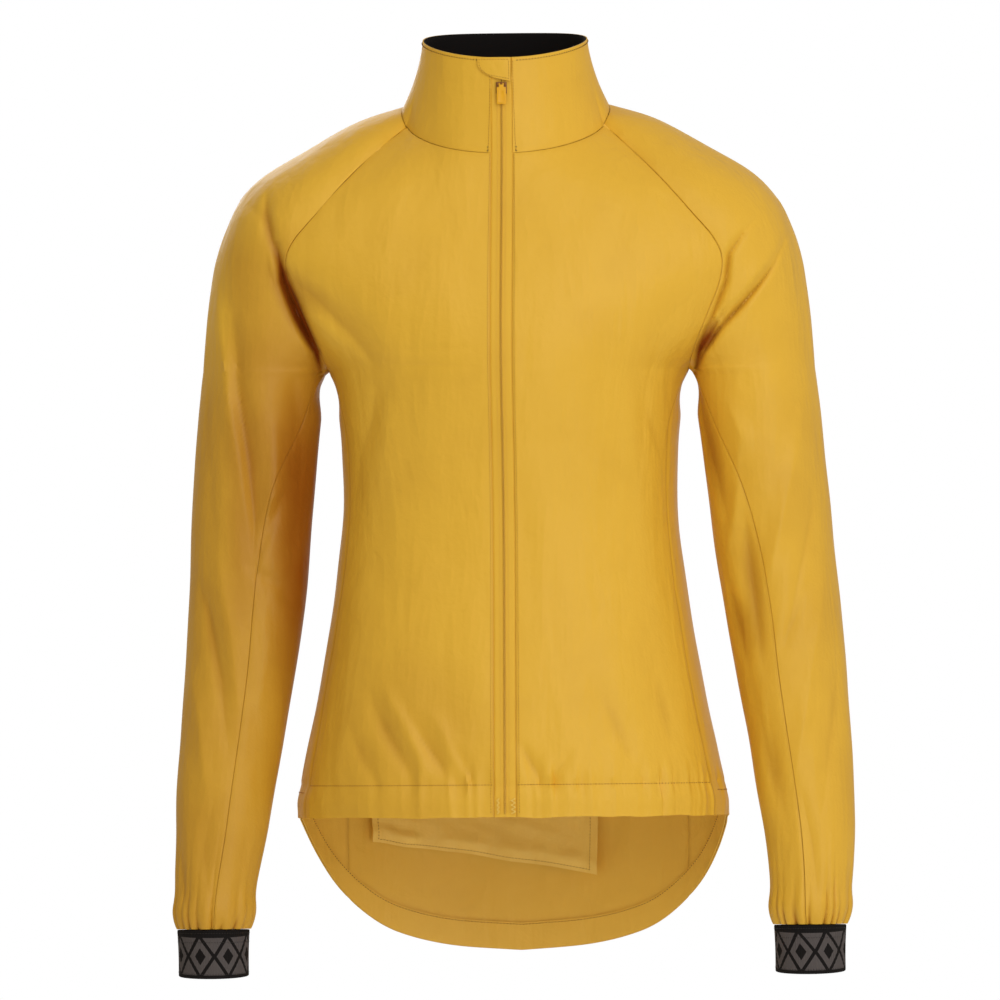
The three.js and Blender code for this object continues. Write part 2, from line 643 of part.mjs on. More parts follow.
// Slider on the zip: a block with two cheeks, cut from one extruded side view by its middle slot
const SLIDER = { half: 4.3, low: 20.2, high: 29.6, thick: 2.2, clear: 0.4, slot: 2.35, cheekLow: 27.1, cheekHigh: 29.4 };
const PULL = { half: 3.65, neck: 2.0, length: 17, neckLength: 3.3, thick: 1.3, corner: 1.6, clear: 0.45 };
const sliderBack = collarFrontY(SLIDER.low) + ZIP_SINK - SLIDER.clear;
const sliderFront = sliderBack - SLIDER.thick;
const pivot = point(0, sliderFront - PULL.clear - PULL.thick / 2, 28.2);
const cheekFront = pivot.y - PULL.thick / 2;

// Joins closed geometries that meet or cross into one
function joined(geometries) {
  const solids = geometries.map((geometry) => {
    const bare = geometry.index ? geometry.toNonIndexed() : geometry.clone();
    bare.deleteAttribute('normal');
    bare.deleteAttribute('uv');
    const merged = mergeVertices(bare, 1e-4);
    return new wasm.Manifold(new wasm.Mesh({
      numProp: 3,
      vertProperties: new Float32Array(merged.attributes.position.array),
      triVerts: new Uint32Array(merged.index.array),
    }));
  });
  const mesh = solids.slice(1).reduce((sum, solid) => sum.add(solid), solids[0]).getMesh();
  const geometry = new THREE.BufferGeometry();
  geometry.setAttribute('position', new THREE.Float32BufferAttribute(mesh.vertProperties, 3));
  geometry.setIndex(new THREE.Uint32BufferAttribute(mesh.triVerts, 1));
  const flat = geometry.toNonIndexed();
  flat.computeVertexNormals();
  return flat;
}

// A plate with this outline in the front view, between two depths
function plate(outline, frontY, backY) {
  const shape = new THREE.Shape(outline.map(([x, z]) => new THREE.Vector2(x, z)));
  const geometry = new THREE.ExtrudeGeometry(shape, { depth: backY - frontY, bevelEnabled: false });
  geometry.rotateX(Math.PI / 2);
  geometry.translate(0, backY, 0);
  return geometry;
}

function sliderGeometry() {
  const cut = 1.5;
  const block = plate([
    [-SLIDER.half, SLIDER.low + cut], [-SLIDER.half + cut, SLIDER.low], [SLIDER.half - cut, SLIDER.low],
    [SLIDER.half, SLIDER.low + cut], [SLIDER.half, SLIDER.high], [-SLIDER.half, SLIDER.high],
  ], sliderFront, sliderBack);
  const cheeks = [-1, 1].map((side) => {
    const [a, b] = [side * SLIDER.slot, side * (SLIDER.half - 0.6)].sort((p, q) => p - q);
    return plate([
      [a, SLIDER.cheekLow], [b, SLIDER.cheekLow], [b, SLIDER.cheekHigh], [a, SLIDER.cheekHigh],
    ], cheekFront, sliderFront + 0.8);
  });
  return joined([block, ...cheeks]);
}

// Pull tab, hanging from its narrow neck between the cheeks
function pullGeometry() {
  const top = pivot.z + PULL.thick / 2;
  const bottom = top - PULL.length;
  const shoulder = top - PULL.neckLength;
  const right = [
    [PULL.neck, top], [PULL.neck, shoulder], [PULL.half, shoulder - 0.8], [PULL.half, bottom + PULL.corner],
    [PULL.half - 0.3 * PULL.corner, bottom + 0.3 * PULL.corner], [PULL.half - PULL.corner, bottom],
  ];
  const left = right.map(([x, z]) => [-x, z]).reverse();
  return plate([...left, ...right], pivot.y - PULL.thick / 2, pivot.y + PULL.thick / 2);
}

addMesh('zip_slider', sliderGeometry(), rubber);
addMesh('zip_pull', pullGeometry(), rubber);

export default jacket;
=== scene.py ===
"""Windbreaker jacket: the cloth, stitching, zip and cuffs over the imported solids."""

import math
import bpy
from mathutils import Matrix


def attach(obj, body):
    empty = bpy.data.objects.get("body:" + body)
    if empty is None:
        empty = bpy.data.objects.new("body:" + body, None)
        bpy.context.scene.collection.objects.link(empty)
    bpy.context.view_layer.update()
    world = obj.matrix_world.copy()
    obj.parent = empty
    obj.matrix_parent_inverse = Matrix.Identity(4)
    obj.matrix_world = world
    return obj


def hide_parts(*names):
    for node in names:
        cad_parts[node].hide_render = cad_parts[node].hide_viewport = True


bl_info = {
    "name": "Windbreaker Jacket",
    "version": (1, 0, 0),
    "blender": (4, 5, 0),
    "location": "View3D > Sidebar > Jacket",
    "description": "Builds the cloth, seams, zip and cuffs of a windbreaker jacket",
    "category": "Object",
}

import bpy
import numpy as np
from mathutils import Matrix, Vector

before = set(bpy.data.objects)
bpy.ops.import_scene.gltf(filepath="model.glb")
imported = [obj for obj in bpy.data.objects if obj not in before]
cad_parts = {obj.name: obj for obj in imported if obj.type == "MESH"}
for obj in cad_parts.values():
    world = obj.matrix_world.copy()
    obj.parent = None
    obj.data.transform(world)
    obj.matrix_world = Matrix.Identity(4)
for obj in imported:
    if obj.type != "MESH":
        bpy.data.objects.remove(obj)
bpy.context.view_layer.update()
MM = 0.001

# Driving sizes in millimetres: thicknesses, seams, zip, hems, cuffs, neck and collar
FACING_CLOTH = 0.7
LINING_CLOTH = 0.8
ELASTIC = 1.6
SEAM = 0.28
SEAM_DIP = 0.45
ZIP_HALF = 8.8
ZIP_SPLIT = 0.22
ZIP_SINK = 0.5
TAPE_UNDER = 2.6
HEM_FRONT = -557.0
HEM_CHANNEL = 26.0
UNDERARM = -200.0
SIDE_Y = 5.0
CUFF_TOP = -645.0
CUFF_END = -683.0
NECK_MIDDLE_Y = -10.0
NECK_HALF = (81.0, 68.0)
COLLAR_TOP_HALF = (66.0, 60.0)
COLLAR_TOP_MIDDLE_Y = -15.0
COLLAR_TOP_Z = 61.8
COLLAR_TOP_DIP = 10.4
COLLAR_TOP_BOW = 2.2
FACING_WIDTH = 22.0
TAIL_DROP = 3.5
BACK_LOW = -640.0

# Steps and counts of the grids that the panels are made of
STEP = 3.0
YOKE_STEP = 2.0
FRONT_COLUMNS = 84
SIDE_COLUMNS = 40
BACK_COLUMNS = 58
SLEEVE_COLUMNS = 124
UNDER_SLEEVE_COLUMNS = 48
COLLAR_ROWS = 26
COLLAR_COLUMNS = 281
POCKET_ROWS = 50
POCKET_COLUMNS = 56
GARAGE_ROWS = 30
GARAGE_COLUMNS = 40
CUFF_COLUMNS = 336
TAPE_COLUMNS = 18

# How far the inner layers lie below the outside of the cloth over them
LINING_SINK = 1.5
FACING_SINK = 1.5
POCKET_SINK = 2.4

# Small pieces: the pull's hinge, the garage, cuffs, pocket bag, slider with its cheeks and pin, pull
PIVOT_Y = -78.88
PIVOT_Z = 28.2
GARAGE = {"slope": 5.5, "left": -19.0, "right": 7.2, "low": 30.2, "high": 49.4, "corner_width": 16.0,
          "corner_height": 12.0, "lift": 0.5, "cloth": 1.2, "bend": 0.0062}
CUFF = {"rib": 0.16, "low_scale": 0.955, "high_scale": 0.985, "waist": 0.4, "front_drop": 2.4}
POCKET = {"from": 161.5, "to": 222.0, "low_left": -606.0, "low_right": -577.0, "high": -452.0}
SLIDER = {"half": 4.3, "low": 20.2, "high": 29.6, "thick": 2.2, "clear": 0.4, "slot": 2.35}
CHEEK = {"half": 0.68, "half_height": 1.15, "height": 28.25, "ahead": 0.65, "sunk": 0.8}
PIN = {"radius": 0.5, "half_length": 3.2}
PULL = {"half": 3.65, "neck": 2.0, "length": 17.0, "neck_length": 3.3, "thick": 1.3}

# From and to, across, of the bar-tacks at the zip's lower end
BAR_TACKS = ((-6.4, -4.6), (5.0, 8.2))

# Body sections below the arms: height, half width, where front and back stand, squareness
BODY = {
    "z": (-665, -610, -557, -520, -469, -418, -366, -315, -264, -238, -213, -200),
    "half": (171.0, 172.5, 172.5, 167.6, 157.0, 147.6, 139.2, 133.8, 134.6, 136.8, 140.4, 145.3),
    "front": (-120, -120, -119, -117, -112, -106, -101, -100, -107, -113, -118, -120),
    "back": (118, 121, 121, 119, 113, 105, 98, 95, 101, 106, 110, 112),
    "square": (2.3, 2.3, 2.3, 2.3, 2.3, 2.3, 2.3, 2.3, 2.25, 2.15, 2.05, 2.0),
}

# Height of the hem by the angle from the centre back
TAIL = {
    "turn": (0, 17, 31.5, 41, 55.5, 68, 76, 84, 92),
    "z": (-662, -657, -647, -635, -610, -584, -569, -559, -557),
}

# Angles from the side line to the side panel's front and back seams
SIDE_PANEL = {
    "z": (-665, -304, -245, -218, -200),
    "ahead": (20, 20, 19, 12, 7),
    "behind": (40, 38, 30, 15, 7),
}

# Yoke rows from the underarm (0) to the neck (1): the front seam (f), centre front (cf), back seam
# (b), centre back (cb), angles of the arcs from the centre to the seams (fa, ba), outside of the
# sleeve and shoulder (o), and the angle that half a sleeve row wraps round it
YOKE = {
    "t": (0.0, 0.1, 0.2, 0.3, 0.4, 0.5, 0.6, 0.7, 0.8, 0.9, 1.0),
    "fx": (144.2, 147, 153, 163, 172, 175, 168, 151, 130, 105, 79),
    "fy": (-10.2, -33, -50, -60, -65, -67, -68, -67, -60, -44, -24),
    "fz": (-200, -192, -178, -155, -133, -113, -96, -76, -52, -27, -5),
    "cfy": (-120, -120, -118, -114.5, -109.5, -104, -98, -92, -87, -82.5, -78),
    "cfz": (-200, -182, -164, -146, -129, -112, -95, -78, -61, -44, -27),
    "fa": (83, 76, 69, 64, 60, 57, 56, 56, 59, 67, 77),
    "bx": (144.2, 147, 153, 162, 169, 170, 160, 141, 118, 91, 62),
    "by": (18, 42, 60, 70, 76, 79, 82, 82, 77, 61, 35),
    "bz": (-200, -193, -180, -158, -135, -112, -90, -66, -38, -9, 13),
    "cby": (112, 113, 114, 113, 111, 107, 101, 93, 83, 71, 58),
    "cbz": (-200, -178, -156, -135, -114, -92, -70, -48, -26, -5, 14),
    "ba": (83, 77, 71, 66, 62, 60, 58, 57, 56, 54, 50),
    "ox": (245, 243, 241, 238, 234, 227, 216, 197, 163, 121, 82),
    "oy": (5, 6, 7, 8, 9, 10, 10, 10, 9, 8, 6),
    "oz": (-200, -178, -155, -133, -111, -88, -65, -44.5, -24, -1, 11),
    "wrap": (164.86, 138, 116.5, 101.5, 94, 91, 90, 90, 90, 90, 90),
}

# Sleeve sections below the underarm, with the angles of the front and back sleeve seams
SLEEVE = {
    "z": (-645, -622, -597, -545, -494, -443, -392, -341, -290, -238, -213, -200),
    "inner": (209.5, 207, 203.6, 194.4, 186, 176.4, 168.4, 162.4, 156.8, 150.4, 147.6, 144.2),
    "outer": (268, 270, 271.6, 271.2, 268.4, 265.2, 261.6, 257.6, 254, 250, 247, 245),
    "middle": (-35, -33, -30, -23, -15, -8, -3, 0, 2, 4, 5, 5),
    "depth": (30.5, 32.5, 34.5, 38, 42, 45, 48, 50, 52, 53.5, 54, 54),
    "ahead": (93, 95, 97, 99, 101, 101, 100, 103, 113, 139, 153, 165),
    "behind": (118, 118, 118, 118, 118, 118, 118, 120, 129, 146, 156, 165),
}

# The sleeves hang a little to the right between these distances below the neck
SWAY = 3.5
SWAY_TOP = 260.0
SWAY_FULL = 430.0
SWAY_LOW = 560.0

# Folds: where they turn round the sides, and the share of their round part beside the sharp one
FOLD_TURN = (3, 22)
FOLD_SOFT = 0.65
GATHERS = 20
GATHER_DEPTH = 4.4
GATHERS_TOP = -560.0
PUCKER_PITCH = 3.1
PUCKER_DEPTH = 3.0

# Painted shade mixed into the cloth's colour, from 0 to 1: from this fold depth on, over this much more, and
# by zone
SHADE_FROM = 1.8
SHADE_SPAN = 9.0
NEAR_BODY_SHADE = 0.86
SLACK_SHADE = 0.29
SLEEVE_SHADE = 0.07
LEFT_SLEEVE_SHADE = 0.24
LOWER_LEFT_SHADE = 0.14
SLEEVE_EDGE_SHADE = 0.2
BODY_EDGE_SHADE = 0.35

# Zones of the left sleeve with painted shade, where it lies near the body or hangs slack: from and to, across
# and in height
NEAR_BODY_X = (-208, -166)
NEAR_BODY_Z = (-540, -360)
UNDER_ARM_Z = (UNDERARM - 90, UNDERARM + 60)
SLACK_X = (-231, -212)
SLACK_TOP_Z = (-116, -72)
SLACK_LOW_Z = (-470, -330)

# The room: its tint, how much lighter it is at the right and above, and where its white back begins
ROOM_TINT = (1.0, 0.87, 0.69, 1.0)
WHITE = (1.0, 1.0, 1.0, 1.0)
LIGHTER_RIGHT = 0.26
LIGHTER_ABOVE = 0.28
BACKDROP_FROM = 0.93
BACKDROP_FULL = 0.98


# Reading the tables


def read(table, key, column, at):
    """A column of a table by another one, read smoothly between its rows, for numbers or arrays."""
    keys = np.asarray(table[key], float)
    values = np.asarray(table[column], float)
    slopes = np.empty_like(values)
    slopes[1:-1] = (values[2:] - values[:-2]) / (keys[2:] - keys[:-2])
    slopes[0] = (values[1] - values[0]) / (keys[1] - keys[0])
    slopes[-1] = (values[-1] - values[-2]) / (keys[-1] - keys[-2])
    at = np.clip(at, keys[0], keys[-1])
    low = np.clip(np.searchsorted(keys, at, side="left") - 1, 0, len(keys) - 2)
    span = keys[low + 1] - keys[low]
    f = (at - keys[low]) / span
    rise = f * f * (3 - 2 * f)
    bend = f * (1 - f) ** 2 * slopes[low] - f * f * (1 - f) * slopes[low + 1]
    return values[low] + (values[low + 1] - values[low]) * rise + span * bend


def mix(a, b, f):
    """From a at 0 to b at 1."""
    return a + (b - a) * f


def smooth(value, low, high):
    """A soft step from 0 at the low value to 1 at the high one."""
    f = np.clip((value - low) / (high - low), 0, 1)
    return f * f * (3 - 2 * f)


def counted(count):
    return np.linspace(0, 1, count + 1)


def closer_at_ends(count, amount):
    f = counted(count)
    return f - amount * np.sin(2 * np.pi * f) / (2 * np.pi)


def stacked(x, y, z):
    x, y, z = np.broadcast_arrays(x, y, z)
    return np.stack([x, y, z], axis=-1).astype(float)


# Surfaces of body, yoke and sleeves


def body_point(turn, z):
    """Body ring below the arms; turn is 0 at the centre front and grows towards +X."""
    power = 2 / read(BODY, "z", "square", z)
    sine = np.sin(np.radians(turn))
    cosine = np.cos(np.radians(turn))
    front = read(BODY, "z", "front", z)
    back = read(BODY, "z", "back", z)
    depth = np.where(cosine > 0, front, back) - SIDE_Y
    x = read(BODY, "z", "half", z) * np.sign(sine) * np.abs(sine) ** power
    return stacked(x, SIDE_Y + depth * np.abs(cosine) ** power, z)


def hem_height(turn):
    """Height of the hem by the angle from the centre front, with the tail's extra drop."""
    height = read(TAIL, "turn", "z", 180 - np.abs(turn))
    return height - TAIL_DROP * smooth(-height, 560, 640)


def front_seam_turn(z):
    return 90 - read(SIDE_PANEL, "z", "ahead", z)


def back_seam_turn(z):
    return 90 + read(SIDE_PANEL, "z", "behind", z)


BACK_SEAM_HEM = float(hem_height(back_seam_turn(-620)))


def turn_at(x, z):
    """Angle of the body ring at which it is this far from the centre."""
    ratio = x / read(BODY, "z", "half", z)
    return np.degrees(np.arcsin(ratio ** (read(BODY, "z", "square", z) / 2)))


def yoke_arc(t, angle, side):
    """Arc of a yoke row across the front (f) or back (b), by the angle from the centre."""
    full = np.radians(read(YOKE, "t", side + "a", t))
    a = np.radians(angle)
    share = (np.cos(a) - np.cos(full)) / (1 - np.cos(full))
    x = read(YOKE, "t", side + "x", t) * np.sin(a) / np.sin(full)
    y = mix(read(YOKE, "t", side + "y", t), read(YOKE, "t", "c" + side + "y", t), share)
    z = mix(read(YOKE, "t", side + "z", t), read(YOKE, "t", "c" + side + "z", t), share)
    return stacked(x, y, z)


def sleeve_ring(angle, z):
    """Sleeve ring below the underarm: 0 is outside, -90 in front and 180 inside."""
    a = np.radians(angle)
    outer = read(SLEEVE, "z", "outer", z)
    inner = read(SLEEVE, "z", "inner", z)
    y = read(SLEEVE, "z", "middle", z) + read(SLEEVE, "z", "depth", z) * np.sin(a)
    return stacked((outer + inner) / 2 + (outer - inner) / 2 * np.cos(a), y, z)


def shoulder_arc(t, share):
    """Sleeve row over the shoulder; share is -1 at the front seam and 1 at the back seam."""
    def corner(side):
        return stacked(*(read(YOKE, "t", side + axis, t) for axis in "xyz"))
    front = corner("f")
    back = corner("b")
    top = corner("o")
    middle = (front + back) / 2
    gap = (back[..., 1] - front[..., 1]) / 2
    full = np.radians(read(YOKE, "t", "wrap", t))
    depth = gap / np.sin(full)
    cosine = np.cos(full)[..., None]
    centre = (middle - top * cosine) / (1 - cosine)
    angle = full * share
    result = centre + (top - centre) * np.cos(angle)[..., None]
    result[..., 1] += depth * np.sin(angle)
    result[..., 0] += (back - front)[..., 0] / 2 * share
    result[..., 2] += (back - front)[..., 2] / 2 * share
    return result


def flatten(row):
    """Under the arm a row turns from its arc into the armhole's straight lowest line."""
    amount = smooth(row[0, 2], UNDERARM - 40, UNDERARM)
    chord = mix(row[0], row[-1], counted(len(row) - 1)[:, None])
    return mix(row, chord, amount)


def mirrored(rows):
    return rows[:, ::-1] * np.array([-1.0, 1.0, 1.0])


BODY_ROWS = round((UNDERARM - HEM_FRONT) / STEP)
YOKE_ROWS = round(230 / YOKE_STEP)


def front_rows():
    columns = closer_at_ends(FRONT_COLUMNS, 0.4)
    rows = []
    for v in counted(BODY_ROWS):
        z = mix(HEM_FRONT, UNDERARM, v)
        rows.append(body_point(mix(turn_at(ZIP_HALF, z), front_seam_turn(z), columns), z))
    for t in counted(YOKE_ROWS)[1:]:
        full = read(YOKE, "t", "fa", t)
        start = math.degrees(math.asin(ZIP_HALF / read(YOKE, "t", "fx", t) * math.sin(math.radians(full))))
        rows.append(yoke_arc(t, mix(start, full, columns), "f"))
    return np.array(rows)


def side_rows():
    columns = counted(SIDE_COLUMNS)
    hem_from = front_seam_turn(HEM_FRONT)
    hem_to = back_seam_turn(BACK_SEAM_HEM)
    hem = hem_height(mix(hem_from, hem_to, columns))
    hem[0] = HEM_FRONT
    rows = []
    for v in counted(BODY_ROWS):
        start = front_seam_turn(mix(HEM_FRONT, UNDERARM, v))
        end = back_seam_turn(mix(BACK_SEAM_HEM, UNDERARM, v))
        rows.append(flatten(body_point(mix(start, end, columns), mix(hem, UNDERARM, v))))
    return np.array(rows)


def back_rows():
    columns = counted(BACK_COLUMNS)
    hem = hem_height(mix(back_seam_turn(BACK_SEAM_HEM), 180, columns))
    rows = []
    for v in counted(BODY_ROWS):
        start = back_seam_turn(mix(BACK_SEAM_HEM, UNDERARM, v))
        rows.append(body_point(mix(start, 180, columns), mix(hem, UNDERARM, v)))
    for t in counted(YOKE_ROWS)[1:]:
        rows.append(yoke_arc(t, read(YOKE, "t", "ba", t) * (1 - columns), "b"))
    right = np.array(rows)
    return np.concatenate([right, mirrored(right)[:, 1:]], axis=1)


SLEEVE_HEIGHTS = np.concatenate([
    np.linspace(CUFF_TOP, -600, 24)[:-1],
    np.linspace(-600, UNDERARM, round(400 / STEP) + 1)[:-1],
])


def sleeve_rows():
    columns = closer_at_ends(SLEEVE_COLUMNS, 0.55)
    rows = []
    for z in SLEEVE_HEIGHTS:
        start = -read(SLEEVE, "z", "ahead", z)
        end = read(SLEEVE, "z", "behind", z)
        rows.append(sleeve_ring(mix(start, end, columns), z))
    for t in counted(YOKE_ROWS):
        rows.append(shoulder_arc(np.full_like(columns, t), 2 * columns - 1))
    return np.array(rows)


def under_sleeve_rows():
    columns = counted(UNDER_SLEEVE_COLUMNS)
    rows = []
    for z in SLEEVE_HEIGHTS:
        start = read(SLEEVE, "z", "behind", z)
        end = 360 - read(SLEEVE, "z", "ahead", z)
        rows.append(flatten(sleeve_ring(mix(start, end, columns), z)))
    ends = shoulder_arc(np.zeros(2), np.array([1.0, -1.0]))
    rows.append(mix(ends[0], ends[1], columns[:, None]))
    return np.array(rows)


# Folds and the unevenness of thin cloth

# Folds as the front view shows them: places across and heights of the points of a line,
# the depth inward (a ridge is negative) and the half width
FRONT_FOLDS = (
    # Armholes and the edge where each sleeve goes in behind the front
    ((-182, -176.5, -165, -152, -147), (-98, -128, -156, -184, -216), 16, 4),
    ((-190, -190, -186, -182), (-54, -74, -92, -112), 6.5, 4.5),
    ((-194, -188, -172, -158), (-84, -120, -160, -198), 6, 15),
    ((-200, -204, -194), (-52, -66, -78), 2.5, 5),
    ((202, 190, 180, 177, 166, 156, 149), (-81, -94, -109, -132, -158, -180, -206), 5, 2.8),
    ((227, 214.5, 203, 189, 170, 160, 148), (-88, -118, -134, -150, -170, -184, -206), 7, 2.8),
    ((218, 204, 190, 174), (-100, -122, -138, -152), -2.6, 7),
    ((176, 164, 154, 148), (-154, -172, -186, -210), 10, 4.5),
    ((168, 172, 165), (-156, -164, -174), -3, 2.5),
    ((-178, -150, -120, -96), (-118, -142, -172, -204), 5, 14),
    ((-170, -140, -108), (-150, -168, -196), -2.5, 12),
    ((170, 140, 112), (-130, -150, -186), 2.2, 15),
    # Waist and bust
    ((-108, -101, -108, -116, -124), (-206, -218, -248, -270, -320), 3.2, 8),
    ((-92, -96, -104), (-222, -262, -312), -1.8, 12),
    ((104, 112, 118, 124, 128), (-208, -232, -252, -276, -380), 3.2, 8),
    ((96, 104, 110), (-222, -262, -330), -1.8, 12),
    ((-70, -30), (-330, -360), 1.2, 18),
    ((40, 96), (-300, -340), 1.4, 16),
    ((-84, -24), (-184, -183), 0.7, 4),
    ((-92, -18), (-195, -199), 0.8, 4),
    # Above the front hem
    ((-112, -98, -84, -70), (-455, -482, -506, -532), 4.5, 8),
    ((-98, -84, -72, -58), (-450, -478, -500, -534), -3.3, 7),
    ((-84, -66, -50, -40), (-462, -494, -516, -536), 3.9, 6),
    ((-128, -116, -106), (-480, -506, -530), 3.3, 7),
    ((-60, -44, -30), (-470, -500, -530), -2.7, 6),
    ((-44, -32, -22), (-496, -516, -534), 3, 5),
    ((12, 22, 32), (-498, -516, -536), 3.6, 4.5),
    ((54, 44, 36), (-500, -518, -536), 2.7, 5),
    ((66, 84, 96, 108), (-440, -474, -504, -532), 3, 11),
    ((116, 124, 134), (-430, -470, -520), 3, 10),
    # Sleeves
    ((-233, -231, -223, -214, -206), (-112, -150, -222, -272, -330), -4.6, 6),
    ((-219, -214, -206, -202, -204), (-150, -214, -272, -318, -350), 7.5, 8),
    ((-238, -240, -236), (-170, -240, -330), 2.6, 7),
    ((-172, -166, -168, -176), (-204, -240, -300, -372), 8, 12),
    ((-186, -184, -194), (-240, -280, -330), -3.4, 6),
    ((-180, -190, -202), (-300, -322, -356), 4, 4.5),
    ((-208, -196, -182, -166), (-352, -364, -370, -378), 4.5, 6),
    ((-184, -176, -166), (-374, -384, -394), 4, 4),
    ((-196, -192, -200), (-392, -420, -470), -2.6, 7),
    ((-250, -240, -230, -224), (-360, -392, -444, -504), 4.6, 7),
    ((-266, -262, -256), (-560, -600, -646), 3.4, 5),
    ((-232, -222, -216), (-352, -410, -470), -2.6, 8),
    ((-258, -248, -242), (-430, -480, -540), -2.9, 6.5),
    ((-236, -244, -240), (-540, -580, -622), 2.3, 7),
    ((150, 157, 167, 178), (-206, -244, -284, -330), 6.5, 9),
    ((184, 182, 174), (-290, -314, -352), -3.6, 5),
    ((190, 194, 199, 205), (-316, -356, -396, -446), 6.5, 9),
    ((176, 184, 192), (-372, -404, -440), 5.5, 7),
    ((188, 198, 206, 214), (-430, -466, -500, -548), 3, 8),
    ((200, 206, 212), (-452, -484, -520), -2.2, 5),
    ((176, 188, 184), (-226, -256, -280), -3, 8),
    ((244, 230, 216), (-364, -400, -428), 1.6, 5),
    ((240, 232, 218, 206), (-210, -270, -330, -376), -3.4, 6.5),
    ((250, 244, 232, 220), (-240, -310, -370, -430), 2.6, 6),
    ((256, 250, 240, 230), (-330, -400, -460, -520), -2.9, 6.5),
    ((264, 258, 250), (-420, -480, -560), 2.9, 8),
    ((234, 242, 246), (-540, -580, -622), 2.6, 6),
    ((206, 214, 224), (-470, -520, -580), 3.1, 8),
)

# Folds of the back, seen through from the front
BACK_FOLDS = (
    ((-160, -120, -84), (-120, -160, -214), 3.5, 16),
    ((158, 124, 90), (-124, -168, -220), 3.2, 15),
    ((-96, -40, 20), (-300, -318, -310), 2.6, 12),
    ((-30, 40, 100), (-338, -346, -326), 2.6, 12),
    ((-110, -60), (-350, -374), 2, 10),
    ((24, 30, 22), (-90, -150, -220), 1.8, 16),
    ((-110, -96, -90), (-450, -520, -590), 2.6, 13),
    ((104, 92, 88), (-440, -520, -600), 2.6, 13),
    ((-222, -214, -208), (-130, -200, -290), 3.4, 10),
    ((-236, -226, -196), (-290, -322, -344), 3, 8),
    ((-240, -222, -200), (-340, -360, -372), 2.6, 7),
    ((224, 212, 206), (-130, -210, -300), 3.2, 10),
    ((238, 222, 200), (-300, -330, -350), 3, 8),
    ((246, 226, 206), (-352, -372, -384), 2.6, 7),
)


def fold_depth(points, across, heights, depth, reach):
    """Depth of one fold at each point: a soft hollow with a sharper middle that fades at both ends."""
    x = points[..., 0]
    z = points[..., 2]
    spans = len(across) - 1
    nearest = np.full_like(x, 1e9)
    place = np.zeros_like(x)
    for i in range(spans):
        dx = across[i + 1] - across[i]
        dz = heights[i + 1] - heights[i]
        f = np.clip(((x - across[i]) * dx + (z - heights[i]) * dz) / (dx * dx + dz * dz), 0, 1)
        away = np.hypot(x - across[i] - f * dx, z - heights[i] - f * dz)
        closer = away < nearest
        nearest = np.where(closer, away, nearest)
        place = np.where(closer, (i + f) / spans, place)
    width = reach * (0.7 + 0.5 * np.sin(np.pi * place))
    soft = FOLD_SOFT * np.exp(-(nearest / width) ** 2)
    sharp = (1 - FOLD_SOFT) * np.exp(-nearest / (0.4 * width))
    return depth * (soft + sharp) * np.sin(np.pi * (0.05 + 0.9 * place))


def fold_push(points, middle):
    """Push of the folds in y: inward on the half that each one lies on."""
    in_front = smooth(middle - points[..., 1], *FOLD_TURN)
    behind = smooth(points[..., 1] - middle, *FOLD_TURN)
    push = np.zeros_like(points[..., 0])
    for folds, strength in ((FRONT_FOLDS, in_front), (BACK_FOLDS, -behind)):
        for fold in folds:
            push += fold_depth(points, *fold) * strength
    return push


def sleeve_sway(z):
    """How far to the right the sleeves hang at a height."""
    return SWAY * smooth(-z, SWAY_TOP, SWAY_FULL) * (1 - smooth(-z, SWAY_LOW, -CUFF_TOP))


def draped(rows, is_sleeve):
    """Adds the folds and the sleeves' sway."""
    lower, middle = sleeve_middle(rows, is_sleeve)
    result = rows.copy()
    result[..., 0] += np.where(lower, sleeve_sway(rows[..., 2]), 0)
    result[..., 1] += fold_push(result, middle)
    return result


def sleeve_middle(rows, is_sleeve):
    """Which points are on a sleeve below the underarm, and the depth of the middle there."""
    z = rows[..., 2]
    lower = is_sleeve & (z < UNDERARM)
    return lower, np.where(lower, read(SLEEVE, "z", "middle", z), SIDE_Y)


